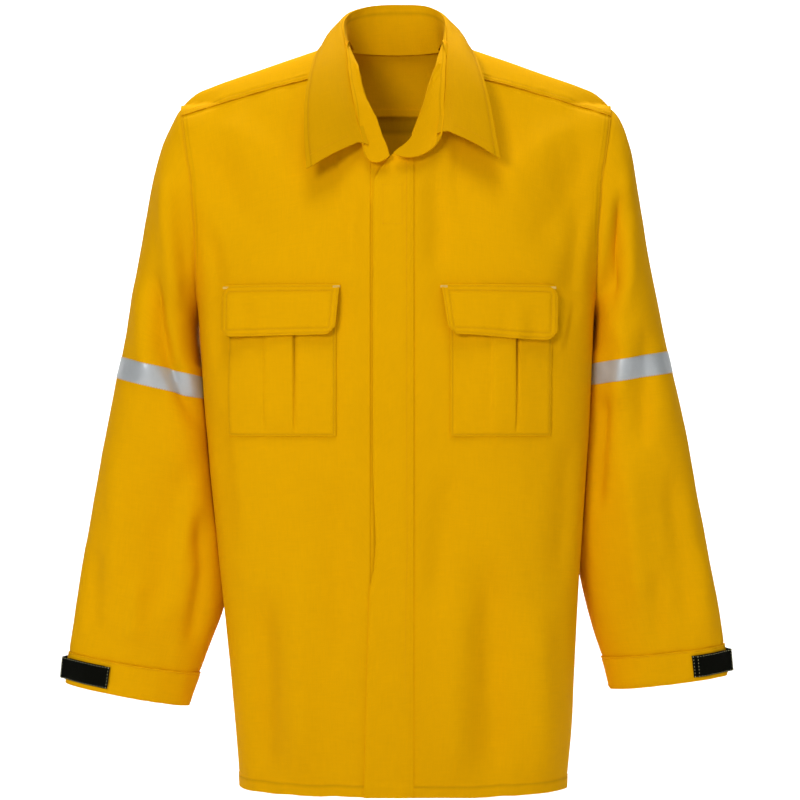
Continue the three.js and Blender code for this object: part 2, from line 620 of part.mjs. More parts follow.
// ---- cuff tabs ----------------------------------------------------------------------------
/** A band laid round a cuff between two angles; 0 is the outer edge, 90 the back, -90 the front. */
function cuffBand(name, sign, fromDegrees, toDegrees, { low, high, lift, thickness, look }) {
  const surface = (u, v) => {
    const place = between(CUFF[1], CUFF[0], lerp(low, high, v));
    const middle = new THREE.Vector3(
      (place.outer[0] + place.inner[0]) / 2,
      place.y,
      (place.outer[1] + place.inner[1]) / 2,
    );
    const across = new THREE.Vector3(place.outer[0] - place.inner[0], 0, place.outer[1] - place.inner[1]);
    const reach = across.length() / 2;
    across.normalize();
    const angle = THREE.MathUtils.degToRad(lerp(fromDegrees, toDegrees, u));
    const power = 2 / SLEEVE_SQUARENESS;
    const outwards = Math.abs(Math.cos(angle)) ** power * Math.sign(Math.cos(angle)) * reach;
    const depth = Math.sign(Math.sin(angle)) * Math.abs(Math.sin(angle)) ** power * place.half;
    const p = middle.addScaledVector(across, outwards).add(new THREE.Vector3(0, depth, 0));
    p.x *= sign;
    return p;
  };
  const from = insideSleeve(sign, CUFF);
  group.add(clothSheet(name, surface, { u: 6, v: 1, lift, thickness, from, look }));
}

function addTab({ word, sign }) {
  const share = TAB_HEIGHT / CUFF_HEIGHT;
  const height = { low: 0.1, high: 0.1 + share };
  const sheet = { ...height, thickness: PATCH, look: blackTape };
  cuffBand(`${word}_cuff_loop_pad`, sign, -74, -22, { ...sheet, lift: 1 + PATCH });
  cuffBand(`${word}_cuff_tab`, sign, -78, -14, { ...sheet, lift: 3.4 + 2 * PATCH });
  cuffBand(`${word}_cuff_tab_base`, sign, -10, 70, { ...sheet, lift: 3.4 + 2 * PATCH });
}
SIDES.forEach(addTab);

export default group;
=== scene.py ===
# A wildland firefighter's shirt-cut coat, hung as if worn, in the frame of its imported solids.
# Shapes are worked out in millimetres (+Z up, -Y the front, +X the wearer's left) and built in metres.
import math

import bpy
import numpy as np
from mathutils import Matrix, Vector


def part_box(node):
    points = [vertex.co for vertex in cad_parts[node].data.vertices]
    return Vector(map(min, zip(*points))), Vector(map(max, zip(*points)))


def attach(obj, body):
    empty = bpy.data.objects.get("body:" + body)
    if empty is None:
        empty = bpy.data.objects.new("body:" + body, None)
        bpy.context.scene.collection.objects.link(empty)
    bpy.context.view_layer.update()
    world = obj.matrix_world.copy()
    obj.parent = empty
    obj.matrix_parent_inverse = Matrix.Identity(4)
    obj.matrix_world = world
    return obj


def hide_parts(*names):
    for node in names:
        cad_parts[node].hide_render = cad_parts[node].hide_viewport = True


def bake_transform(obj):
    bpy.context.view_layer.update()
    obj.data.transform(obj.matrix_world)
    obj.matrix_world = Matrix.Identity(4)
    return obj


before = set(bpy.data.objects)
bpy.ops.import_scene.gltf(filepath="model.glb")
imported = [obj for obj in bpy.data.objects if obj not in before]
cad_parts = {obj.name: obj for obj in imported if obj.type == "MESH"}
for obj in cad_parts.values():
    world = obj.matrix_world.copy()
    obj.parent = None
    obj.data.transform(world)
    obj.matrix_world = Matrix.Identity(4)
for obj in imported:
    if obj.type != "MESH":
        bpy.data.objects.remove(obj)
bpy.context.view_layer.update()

MM = 0.001


def box_mm(node):
    low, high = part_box(node)
    return low * 1000, high * 1000


# ---- sizes of the coat, in millimetres ----------------------------------------------------
HEM_Z = box_mm("back_panel")[0].z
ARMPIT_Z = -298
SHOULDER_POINT = (250, -57)  # top of the armhole seam, seen from the front
ARMHOLE_MIDDLE_Y = -2
ARMHOLE_FRONT = 58
ARMHOLE_BACK = 66
BODY_CENTRE_Y = -15
FRONT_DEPTH = 105
BACK_DEPTH = 108
SQUARENESS = 2.7  # 2 would be an ellipse seen from above; more is squarer
BODY_MIDDLE = (0, BODY_CENTRE_Y, -420)
YOKE_MIDDLE = (0, BODY_CENTRE_Y, -260)
POCKET_MIDDLE = (0, BODY_CENTRE_Y + 60, -360)
FLAP_MIDDLE = (0, BODY_CENTRE_Y + 60, -300)
LEAN_START_Z = -260
NECK_HALF_WIDTH = 66
NECK_TOP_Z = 15
SHOULDER_SLOPE = 0.34
PLACKET = {"free_edge": -26, "seam": 18, "lift": 3.0}
RIGHT_EDGE_X = -29
CLOTH = 0.8
THIN_CLOTH = 0.9
TUCK = 7  # how far a panel runs on under the yoke's seam
CLOSURE_NUMBERS = (1, 2, 3, 4, 5)
SIDES = ((1, "left"), (-1, "right"))


def lerp(a, b, t):
    return a + (b - a) * t


def smooth(t):
    t = np.clip(t, 0, 1)
    return t * t * (3 - 2 * t)


def bell(distance, at, width):
    """A rounded bump of height 1 at that distance, that falls away over the width on both sides."""
    return np.exp(-(((distance - at) / width) ** 2))


def curve_through(values, at, where):
    """Rows of values given at places along a line, read off at other places on a smooth curve."""
    slope = np.gradient(values, at, axis=0)
    k = np.clip(np.searchsorted(at, where) - 1, 0, len(at) - 2)
    span = (at[k + 1] - at[k])[:, None]
    t = (where - at[k])[:, None] / span
    h00, h10 = 2 * t**3 - 3 * t**2 + 1, t**3 - 2 * t**2 + t
    h01, h11 = -2 * t**3 + 3 * t**2, t**3 - t**2
    return h00 * values[k] + h10 * span * slope[k] + h01 * values[k + 1] + h11 * span * slope[k + 1]


def resampled(grid, at, wanted):
    """The grid's rows at other places down it."""
    columns = [np.interp(wanted, at, column) for column in grid.reshape(len(at), -1).T]
    return np.stack(columns, axis=1).reshape(len(wanted), *grid.shape[1:])


def eased(points, reach=30):
    """A function through (at, value) points, with its corners rounded off over that reach."""
    at, value = np.array(sorted(points), float).T
    fine = np.linspace(at[0] - 2 * reach, at[-1] + 2 * reach, 700)
    width = max(1, int(reach / (fine[1] - fine[0])))
    window = np.hanning(2 * width + 1)
    window /= window.sum()
    held = np.pad(np.interp(fine, at, value), width, mode="edge")
    rounded = np.convolve(held, window, mode="valid")
    return lambda where: np.interp(where, fine, rounded)


WIDTH_ABOVE = [(-60, 262), (-100, 260), (-150, 252), (-200, 244), (-250, 236), (-300, 229)]
HALF_WIDTH = {
    1: eased(
        WIDTH_ABOVE + [(-400, 225), (-500, 220), (-600, 213), (-700, 207), (-780, 203), (-846, 198)]
    ),
    -1: eased(
        WIDTH_ABOVE + [(-400, 223), (-500, 214), (-600, 203), (-700, 193), (-780, 186), (-846, 181)]
    ),
}
DEPTH_SCALE = eased([(-250, 0.985), (-330, 1.02), (-450, 1.0), (-846, 0.94)])
ARMHOLE_X = eased(
    [(-40, 251), (-60, 250), (-72, 248), (-100, 244), (-150, 236), (-200, 232), (-298, 229)], 12
)
YOKE_SEAM = eased(
    [(40, -20), (66, -24), (95, -30), (140, -41), (185, -53.5), (226, -65.5), (250, -73)], 10
)
BACK_SEAM = eased([(0, -58), (110, -60), (180, -72), (243, -98)], 15)
NECKLINE = eased([(0, -124), (6, -120), (16, -104), (24, -83), (34, -55), (46, -15), (60, 8)], 3)


def half_width(x, z):
    return np.where(x > 0, HALF_WIDTH[1](z), HALF_WIDTH[-1](z))


def ridge_z(x):
    """Height of the shoulder line at x, dropping round the shoulder point."""
    away = np.abs(x)
    drop = 11 * np.clip((away - 225) / 25, 0, 2) ** 2
    return NECK_TOP_Z - SHOULDER_SLOPE * np.maximum(0, away - NECK_HALF_WIDTH) - drop


def armhole_point(z, side):
    """Where the armhole's edge is at height z, on the front (-1) or the back (1)."""
    share = np.clip((z - ARMPIT_Z) / (SHOULDER_POINT[1] - ARMPIT_Z), 0, 1)
    bulge = np.maximum(0, 1 - np.abs(2 * share - 1) ** 2.2) ** (1 / 2.2)
    reach = np.where(side < 0, -ARMHOLE_FRONT, ARMHOLE_BACK)
    return ARMHOLE_X(z), ARMHOLE_MIDDLE_Y + reach * bulge


def plain_body_y(x, z, side):
    across = np.clip(np.abs(x) / half_width(x, z), 0, 1)
    full = np.where(side < 0, FRONT_DEPTH, BACK_DEPTH) * DEPTH_SCALE(z)
    round_share = np.maximum(0, 1 - across**SQUARENESS) ** (1 / SQUARENESS)
    neck = np.where(side < 0, 0.62, 1.07) * np.sqrt(np.maximum(0, NECK_HALF_WIDTH**2 - x * x))
    power = np.where(side < 0, 1.45, 1.6)
    rise = np.clip((z - LEAN_START_Z) / (ridge_z(x) - LEAN_START_Z), 0, 1)
    lean = np.maximum(0, 1 - rise**power) ** (1 / power)
    return BODY_CENTRE_Y + side * (neck + (full * round_share - neck) * lean)


def body_y(x, z, side):
    """The coat's surface, drawn to the armhole's edge near it."""
    x, z = np.broadcast_arrays(np.asarray(x, float), np.asarray(z, float))
    edge_x, edge_y = armhole_point(z, side)
    near = smooth(1 - (edge_x - np.abs(x)) / 55) * smooth((z - ARMPIT_Z + 2) / 60)
    return plain_body_y(x, z, side) + near * (edge_y - plain_body_y(edge_x * np.sign(x + 1e-9), z, side))


# ---- creases and drape --------------------------------------------------------------------
def soft_noise(u, v, seed):
    """Smooth random heights from -1 to 1, about one bump or hollow per unit of u and of v."""
    lattice = np.random.default_rng(seed).uniform(-1, 1, (64, 64))
    u, v = np.broadcast_arrays(np.asarray(u, float), np.asarray(v, float))
    u0, v0 = np.floor(u).astype(int), np.floor(v).astype(int)
    fu, fv = smooth(u - u0), smooth(v - v0)
    low = lerp(lattice[u0 % 64, v0 % 64], lattice[(u0 + 1) % 64, v0 % 64], fu)
    high = lerp(lattice[u0 % 64, (v0 + 1) % 64], lattice[(u0 + 1) % 64, (v0 + 1) % 64], fu)
    return lerp(low, high, fv)


def crease(a, b, path, width, height, steep=0.0):
    """A ridge, or with a negative height a valley, along a path; steep makes one flank sharper."""
    nearest = np.full(np.shape(a), 1e9)
    signed = np.zeros(np.shape(a))
    along = np.zeros(np.shape(a))
    lengths = [math.dist(p, q) for p, q in zip(path, path[1:])]
    before = 0.0
    for (p, q), length in zip(zip(path, path[1:]), lengths):
        du, dv = (q[0] - p[0]) / length, (q[1] - p[1]) / length
        t = np.clip((a - p[0]) * du + (b - p[1]) * dv, 0, length)
        off_a, off_b = a - p[0] - t * du, b - p[1] - t * dv
        distance = np.hypot(off_a, off_b)
        closer = distance < nearest
        nearest = np.where(closer, distance, nearest)
        signed = np.where(closer, np.sign(off_a * dv - off_b * du), signed)
        along = np.where(closer, (before + t) / sum(lengths), along)
        before += length
    reach = width * (1 + steep * signed)
    ends = smooth(along / 0.25) * smooth((1 - along) / 0.25)
    return height * bell(nearest, 0, reach) * ends


# Each crease: its path as (x, z) points, width, height and steepness of one flank.
FRONT_CREASES = [
    ([(-240, -95), (-190, -160), (-135, -235)], 24, -4.5, 0.0),
    ([(-215, -78), (-150, -120), (-100, -170)], 22, 3.0, 0.0),
    ([(240, -95), (200, -160), (150, -240)], 24, -4.5, 0.0),
    ([(215, -78), (160, -120), (110, -175)], 22, 3.0, 0.0),
    ([(40, -140), (52, -200), (46, -262)], 14, -3.0, 0.2),
    ([(-44, -150), (-52, -210), (-48, -270)], 14, -2.5, 0.0),
    ([(222, -150), (205, -230), (196, -330)], 12, -3.5, 0.3),
    ([(-222, -190), (-206, -262), (-200, -380)], 11, -3.0, -0.3),
    ([(206, -268), (196, -300), (180, -350)], 7, 2.2, 0.3),
    ([(-205, -400), (-196, -480), (-186, -590)], 14, -3.0, 0.2),
    ([(200, -430), (196, -520), (184, -620)], 14, -3.0, 0.2),
    ([(-152, -600), (-150, -720), (-152, -850)], 17, -6.0, 0.0),
    ([(-112, -560), (-108, -720), (-104, -850)], 22, 4.0, 0.0),
    ([(108, -560), (110, -700), (114, -850)], 20, -6.0, 0.0),
    ([(70, -600), (68, -730), (66, -850)], 20, 4.0, 0.0),
    ([(160, -620), (164, -740), (168, -850)], 18, 4.5, 0.0),
    ([(-72, -470), (-64, -600), (-58, -720)], 16, -3.0, 0.0),
    ([(64, -470), (52, -560), (40, -640)], 16, -2.5, 0.0),
]


def front_drape(x, z):
    height = (
        2.6 * soft_noise(x / 75 + 3, z / 190, 11) + 1.7 * soft_noise(x / 34 + z / 160, z / 95 + 7, 12)
    )
    height = height + 0.4 * soft_noise(x / 13, z / 26 + x / 40, 14)
    for path, width, amount, steep in FRONT_CREASES:
        height = height + 1.75 * crease(x, z, path, width, amount, steep)
    calm = smooth((np.abs(x + 4) - 18) / 30) * 0.75 + 0.25
    wave = smooth((-640 - z) / 200) * 2.5 * soft_noise(x / 42 + 1, 0.4, 13)
    return (height + wave) * calm


def back_drape(x, z):
    height = 2.2 * soft_noise(x / 80 + 9, z / 210, 21) + 0.9 * soft_noise(x / 36, z / 110 + 4, 22)
    for path, width, amount in (
        ([(-215, -140), (-150, -260), (-110, -420)], 26, -5.0),
        ([(215, -140), (150, -260), (112, -420)], 26, -5.0),
        ([(-90, -480), (-96, -700), (-100, -850)], 24, 5.0),
        ([(30, -520), (36, -700), (40, -850)], 22, -5.0),
        ([(120, -500), (128, -700), (132, -850)], 24, 5.0),
    ):
        height = height + crease(x, z, path, width, amount)
    return height + smooth((-640 - z) / 200) * 3 * soft_noise(x / 46 + 5, 2.4, 23)


def seam_profile(distance, along, width=8.0, rise=0.9, seed=5, pucker=0.35):
    """A felled seam beside an edge: a raised double layer with a stitched dent near each side."""
    flat = rise * (1 - smooth((distance - width) / 1.4))
    dents = -0.5 * bell(distance, 1.6, 0.8) - 0.6 * bell(distance, width - 1.4, 0.8)
    rucks = pucker * soft_noise(along / 7.0, distance / 9.0, seed) * bell(distance, 0, 1.6 * width)
    return flat + dents + rucks


# ---- meshes -------------------------------------------------------------------------------
def spaced(length, pitch, start=(), end=(), fine_at=()):
    """Places from 0 to 1 along a length: even steps, with closer ones at the ends and at folds."""
    places = set(np.linspace(0, length, max(2, int(round(length / pitch)) + 1)))
    for close, flip in ((start, False), (end, True)):
        if close:
            places = {
                p for p in places
                if (length - p if flip else p) > max(close) + 0.5 * pitch or p in (0, length)
            }
            places |= {length - c if flip else c for c in close}
    for at in fine_at:
        places = {p for p in places if abs(p - at) > 3.4 or p in (0, length)}
        places |= {at + step for step in (-2.8, -1.4, -0.5, 0.5, 1.4, 2.8)}
    return np.array(sorted(p for p in places if 0 <= p <= length)) / length


SEAM_ROWS = (1.6, 6.6)  # how far in from an edge its two rows of stitches lie
EDGE = (0, 0.5, 1.2, 2.2, 3.4, 5, 6.4, 7.4, 8.6, 10.5)
HEM_EDGE = (0, 0.5, 1.4, 3, 5.5, 8.5, 11, 12.4, 13.4, 14.6, 16.5)


def grid_normals(grid, outside_of, wraps=False):
    if wraps:
        rows = np.roll(grid, -1, axis=1) - np.roll(grid, 1, axis=1)
    else:
        rows = np.gradient(grid, axis=1)
    normals = np.cross(rows, np.gradient(grid, axis=0))
    normals /= np.maximum(np.linalg.norm(normals, axis=2, keepdims=True), 1e-9)
    outward = np.sum(normals * (grid - np.asarray(outside_of, float)))
    return normals if outward > 0 else -normals


def distances_along(grid, axis):
    steps = np.linalg.norm(np.diff(grid, axis=axis), axis=2)
    pad = [(0, 0), (0, 0)]
    pad[axis] = (1, 0)
    return np.cumsum(np.pad(steps, pad), axis=axis)


def cloth_mesh(name, grid, thickness, outside_of, material, wraps=False, painted_shade=None, painted_shade_inside=None):
    """A closed sheet of cloth: a grid of outer points, the same grid moved in, and its rim."""
    normals = grid_normals(grid, outside_of, wraps)
    rows, columns = grid.shape[:2]
    count = rows * columns
    points = np.concatenate([grid.reshape(-1, 3), (grid - normals * thickness).reshape(-1, 3)]) * MM
    index = np.arange(count).reshape(rows, columns)
    right = np.roll(index, -1, axis=1) if wraps else index[:, 1:]
    left = index if wraps else index[:, :-1]
    outer = np.stack([left[:-1], right[:-1], right[1:], left[1:]], axis=-1).reshape(-1, 4)
    if wraps:
        rims = [index[0], index[-1][::-1]]
        rims = [np.append(r, r[0]) for r in rims]
    else:
        rims = [np.concatenate([index[0], index[1:, -1], index[-1, -2::-1], index[-2::-1, 0]])]
    rim = np.concatenate(
        [np.stack([r[1:], r[:-1], r[:-1] + count, r[1:] + count], axis=-1) for r in rims]
    )
    faces = np.concatenate([outer, outer[:, ::-1] + count, rim])
    a, b, d = (grid.reshape(-1, 3)[outer[:, k]] for k in (0, 1, 3))
    facing = np.sum(np.cross(b - a, d - a) * normals.reshape(-1, 3)[outer[:, 0]])
    if facing < 0:
        faces = faces[:, ::-1]
    name = name.replace(" ", "_")
    mesh = bpy.data.meshes.new(name)
    mesh.from_pydata(points.tolist(), [], faces.tolist())
    mesh.polygons.foreach_set("use_smooth", np.ones(len(faces), bool))
    mesh.set_sharp_from_angle(angle=math.radians(55))
    u = distances_along(grid, 1).mean(axis=0)[None, :] * np.ones((rows, 1))
    v = distances_along(grid, 0).mean(axis=1)[:, None] * np.ones((1, columns))
    uv = np.tile(np.stack([u, v], axis=-1).reshape(-1, 2) * MM, (2, 1))
    loops = np.empty(len(mesh.loops), int)
    mesh.loops.foreach_get("vertex_index", loops)
    mesh.uv_layers.new(name="UVMap").data.foreach_set("uv", uv[loops].astype(np.float32).ravel())
    # painted shade: a per-point darkening of the cloth's colour, one set for the outer layer and one for
    # the inner layer
    shade = np.zeros(grid.shape[:2]) if painted_shade is None else painted_shade
    attribute = mesh.attributes.new("painted_seam_shade", "FLOAT", "POINT")
    inside = shade if painted_shade_inside is None else painted_shade_inside
    attribute.data.foreach_set(
        "value", np.concatenate([shade.ravel(), inside.ravel()]).astype(np.float32)
    )
    mesh.materials.append(material)
    made = bpy.data.objects.new(name, mesh)
    bpy.context.scene.collection.objects.link(made)
    return made


def custom_blend(piece, weights):
    """Bakes the piece's transform into its mesh; the weights are not used."""
    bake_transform(piece)


def points_mm(piece):
    flat = np.empty(len(piece.data.vertices) * 3)
    piece.data.vertices.foreach_get("co", flat)
    return flat.reshape(-1, 3) / MM


def swing_x(z):
    return np.interp(z, [HEM_Z, -150], [186, 213])


def front_share(points):
    """How far each point goes with an opening front: none at the chest and side, all on the front."""
    x, z = np.abs(points[:, 0]), points[:, 2]
    return smooth((-150 - z) / 112) * smooth((swing_x(z) + 10 - x) / 20)


def follow_front(piece):
    custom_blend(piece, front_share(points_mm(piece)))


# ---- materials ----------------------------------------------------------------------------
def new_group(name, inputs, outputs, kind="ShaderNodeTree"):
    tree = bpy.data.node_groups.new(name, kind)
    for label, socket_kind, default in inputs:
        socket = tree.interface.new_socket(label, in_out="INPUT", socket_type=socket_kind)
        if default is not None:
            socket.default_value = default
    for label, socket_kind in outputs:
        tree.interface.new_socket(label, in_out="OUTPUT", socket_type=socket_kind)
    return tree, tree.nodes.new("NodeGroupInput"), tree.nodes.new("NodeGroupOutput")


def node(tree, kind, values=None, **settings):
    made = tree.nodes.new(kind)
    for key, value in settings.items():
        setattr(made, key, value)
    for key, value in (values or {}).items():
        made.inputs[key].default_value = value
    return made


def math_node(tree, operation, first, second=None):
    made = node(tree, "ShaderNodeMath", operation=operation)
    for slot, value in enumerate((first, second)):
        if value is None:
            continue
        if isinstance(value, (int, float)):
            made.inputs[slot].default_value = value
        else:
            tree.links.new(value, made.inputs[slot])
    return made.outputs[0]


def tint(tree, into, level, out):
    """The group's colour comes out lighter or darker by the level."""
    shaded = node(tree, "ShaderNodeVectorMath", operation="SCALE")
    tree.links.new(into.outputs["Colour"], shaded.inputs[0])
    tree.links.new(level, shaded.inputs["Scale"])
    tree.links.new(shaded.outputs[0], out.inputs["Colour"])


def woven_cloth_group():
    """Colour, roughness and height of plain woven cloth with slubs, faded patches and painted shade in
    seams and folds.
    """
    tree, into, out = new_group(
        "woven cloth",
        [
            ("Colour", "NodeSocketColor", (0.8, 0.4, 0.01, 1)),
            ("Thread pitch", "NodeSocketFloat", 0.0009),
            ("Slub", "NodeSocketFloat", 0.10),
            ("Fading", "NodeSocketFloat", 0.07),
        ],
        [("Colour", "NodeSocketColor"), ("Roughness", "NodeSocketFloat"), ("Height", "NodeSocketFloat")],
    )
    link = tree.links.new
    uv = node(tree, "ShaderNodeUVMap", uv_map="UVMap")
    split = node(tree, "ShaderNodeSeparateXYZ")
    link(uv.outputs[0], split.inputs[0])
    turns = math_node(tree, "DIVIDE", 2 * math.pi, into.outputs["Thread pitch"])
    warp = math_node(tree, "SINE", math_node(tree, "MULTIPLY", split.outputs[0], turns))
    weft = math_node(tree, "SINE", math_node(tree, "MULTIPLY", split.outputs[1], turns))
    weave = math_node(tree, "MULTIPLY", warp, weft)
    slubs = []
    for stretch in ((1.0, 0.06, 1.0), (0.06, 1.0, 1.0)):
        mapped = node(tree, "ShaderNodeMapping", {"Scale": stretch})
        link(uv.outputs[0], mapped.inputs["Vector"])
        streaks = node(tree, "ShaderNodeTexNoise", {"Scale": 700, "Detail": 2.0, "Roughness": 0.6})
        link(mapped.outputs[0], streaks.inputs["Vector"])
        slubs.append(math_node(tree, "SUBTRACT", streaks.outputs[0], 0.5))
    slub = math_node(tree, "ADD", slubs[0], slubs[1])
    place = node(tree, "ShaderNodeTexCoord")
    patches = node(tree, "ShaderNodeTexNoise", {"Scale": 9.0, "Detail": 3.0, "Roughness": 0.55})
    link(place.outputs["Object"], patches.inputs["Vector"])
    uneven = math_node(tree, "SUBTRACT", patches.outputs[0], 0.5)
    faded = math_node(tree, "MULTIPLY", uneven, into.outputs["Fading"])
    level = math_node(tree, "ADD", math_node(tree, "MULTIPLY", slub, into.outputs["Slub"]), faded)
    # painted shade: the stored per-point attribute darkens the colour in seam grooves, fold gaps and inside
    # the back
    seam = node(tree, "ShaderNodeAttribute", attribute_name="painted_seam_shade")
    painted_shading = math_node(tree, "MULTIPLY", seam.outputs["Fac"], -0.45)
    level = math_node(tree, "ADD", math_node(tree, "ADD", level, painted_shading), 1.0)
    tint(tree, into, level, out)
    link(math_node(tree, "ADD", 0.84, math_node(tree, "MULTIPLY", slub, 0.3)), out.inputs["Roughness"])
    threads, thick = math_node(tree, "MULTIPLY", weave, 0.35), math_node(tree, "MULTIPLY", slub, 1.6)
    link(math_node(tree, "ADD", threads, thick), out.inputs["Height"])
    return tree


WOVEN = woven_cloth_group()


def finished_material(name, look, look_values, grain_strength, grain_depth, shader_values):
    """A material whose colour, roughness and raised grain come from one of the groups."""
    material = bpy.data.materials.new(name)
    material.use_nodes = True
    tree = material.node_tree
    shader = tree.nodes["Principled BSDF"]
    group = node(tree, "ShaderNodeGroup", look_values, node_tree=look)
    tree.links.new(group.outputs["Colour"], shader.inputs["Base Color"])
    if "Roughness" in group.outputs:
        tree.links.new(group.outputs["Roughness"], shader.inputs["Roughness"])
    raised = node(tree, "ShaderNodeBump", {"Strength": grain_strength, "Distance": grain_depth})
    tree.links.new(group.outputs["Height"], raised.inputs["Height"])
    tree.links.new(raised.outputs[0], shader.inputs["Normal"])
    for label, value in shader_values.items():
        shader.inputs[label].default_value = value
    return material


def cloth_material(name, colour, pitch=0.0009, slub=0.10, grain_depth=0.00012):
    look_values = {"Colour": (*colour, 1), "Thread pitch": pitch, "Slub": slub}
    matt = {
        "Sheen Weight": 0.03,
        "Sheen Roughness": 0.45,
        "Sheen Tint": (1.0, 0.6, 0.02, 1),
        "Specular IOR Level": 0.03,
    }
    return finished_material(name, WOVEN, look_values, 0.6, grain_depth, matt)


def pile_group():
    """Height and colour of hook-and-loop pile: short tangled fibres."""
    tree, into, out = new_group(
        "hook and loop pile",
        [("Colour", "NodeSocketColor", (0.01, 0.01, 0.01, 1)), ("Fibres", "NodeSocketFloat", 1400.0)],
        [("Colour", "NodeSocketColor"), ("Height", "NodeSocketFloat")],
    )
    link = tree.links.new
    place = node(tree, "ShaderNodeTexCoord")
    fibres = node(tree, "ShaderNodeTexNoise", {"Detail": 4.0, "Roughness": 0.7, "Distortion": 0.6})
    link(place.outputs["Object"], fibres.inputs["Vector"])
    link(into.outputs["Fibres"], fibres.inputs["Scale"])
    level = math_node(tree, "ADD", math_node(tree, "MULTIPLY", fibres.outputs[0], 1.1), 0.45)
    tint(tree, into, level, out)
    link(fibres.outputs[0], out.inputs["Height"])
    return tree


PILE = pile_group()


def pile_material(name, colour):
    matt = {"Roughness": 0.95, "Specular IOR Level": 0.06}
    return finished_material(name, PILE, {"Colour": (*colour, 1)}, 0.8, 0.0005, matt)


def reflective_group():
    """Glass-bead tape: a faint bead grain, scuffs where the beads are rubbed, and soft crinkles."""
    tree, into, out = new_group(
        "reflective tape",
        [("Colour", "NodeSocketColor", (0.50, 0.52, 0.55, 1)), ("Scuffs", "NodeSocketFloat", 0.12)],
        [("Colour", "NodeSocketColor"), ("Roughness", "NodeSocketFloat"), ("Height", "NodeSocketFloat")],
    )
    link = tree.links.new
    place = node(tree, "ShaderNodeTexCoord")
    beads = node(tree, "ShaderNodeTexNoise", {"Scale": 2600.0, "Detail": 1.0})
    rubbed = node(tree, "ShaderNodeTexNoise", {"Scale": 60.0, "Detail": 5.0, "Roughness": 0.65})
    for texture in (beads, rubbed):
        link(place.outputs["Object"], texture.inputs["Vector"])
    uneven = math_node(tree, "SUBTRACT", rubbed.outputs[0], 0.5)
    loss = math_node(tree, "MULTIPLY", uneven, into.outputs["Scuffs"])
    level = math_node(tree, "ADD", 1.0, math_node(tree, "MULTIPLY", loss, 2.0))
    tint(tree, into, level, out)
    link(math_node(tree, "SUBTRACT", 0.42, loss), out.inputs["Roughness"])
    crinkles = math_node(tree, "MULTIPLY", rubbed.outputs[0], 1.5)
    link(math_node(tree, "ADD", beads.outputs[0], crinkles), out.inputs["Height"])
    return tree


YELLOW = cloth_material("yellow aramid cloth", (0.78, 0.375, 0.0))
# painted shade: the collar leaf and stand use darker copies of the body's yellow cloth
SHADED_COLLAR_YELLOW = cloth_material("stiffened collar cloth with painted shade", (0.63, 0.30, 0.0), grain_depth=0.0001)
SHADED_STAND_YELLOW = cloth_material("collar stand cloth", (0.73, 0.345, 0.0), grain_depth=0.0001)
THREAD = cloth_material("yellow sewing thread", (0.74, 0.36, 0.01), pitch=0.0004, slub=0.02)
PALE_THREAD = cloth_material("pale bartack thread", (0.86, 0.66, 0.22), pitch=0.0004, slub=0.02)
TAB_THREAD = cloth_material("tab edge thread", (0.42, 0.40, 0.22), pitch=0.0004, slub=0.02)
YELLOW_PILE = pile_material("yellow hook and loop", (0.72, 0.36, 0.01))
BLACK_PILE = pile_material("black hook and loop", (0.0028, 0.003, 0.0018))
SILVER_TAPE = finished_material(
    "silver reflective tape", reflective_group(), {}, 0.35, 0.0004, {"Metallic": 0.35}
)


# ---- stitches -----------------------------------------------------------------------------
def stitch_tree():
    """Geometry nodes: short raised stitches at even steps along curves."""
    inputs = [
        ("Geometry", "NodeSocketGeometry", None),
        ("Pitch", "NodeSocketFloat", 0.0032),
        ("Stitch length", "NodeSocketFloat", 0.0022),
        ("Thread radius", "NodeSocketFloat", 0.0003),
        ("Thread", "NodeSocketMaterial", None),
    ]
    outputs = [("Geometry", "NodeSocketGeometry")]
    tree, into, out = new_group("row of stitches", inputs, outputs, "GeometryNodeTree")
    link = tree.links.new
    points = node(tree, "GeometryNodeCurveToPoints", mode="LENGTH")
    link(into.outputs["Geometry"], points.inputs["Curve"])
    link(into.outputs["Pitch"], points.inputs["Length"])
    bead = node(tree, "GeometryNodeMeshIcoSphere", {"Subdivisions": 1})
    link(into.outputs["Thread radius"], bead.inputs["Radius"])
    stretch = node(tree, "ShaderNodeCombineXYZ", {"X": 1.0, "Y": 1.0})
    half = math_node(tree, "MULTIPLY", into.outputs["Stitch length"], 0.5)
    link(math_node(tree, "DIVIDE", half, into.outputs["Thread radius"]), stretch.inputs["Z"])
    placed = node(tree, "GeometryNodeInstanceOnPoints")
    link(points.outputs["Points"], placed.inputs["Points"])
    link(bead.outputs["Mesh"], placed.inputs["Instance"])
    link(points.outputs["Rotation"], placed.inputs["Rotation"])
    link(stretch.outputs[0], placed.inputs["Scale"])
    real = node(tree, "GeometryNodeRealizeInstances")
    link(placed.outputs[0], real.inputs[0])
    painted = node(tree, "GeometryNodeSetMaterial")
    link(real.outputs[0], painted.inputs["Geometry"])
    link(into.outputs["Thread"], painted.inputs["Material"])
    link(painted.outputs[0], out.inputs[0])
    return tree


STITCHES = stitch_tree()
STITCH_INPUTS = {s.name: s.identifier for s in STITCHES.interface.items_tree if s.in_out == "INPUT"}


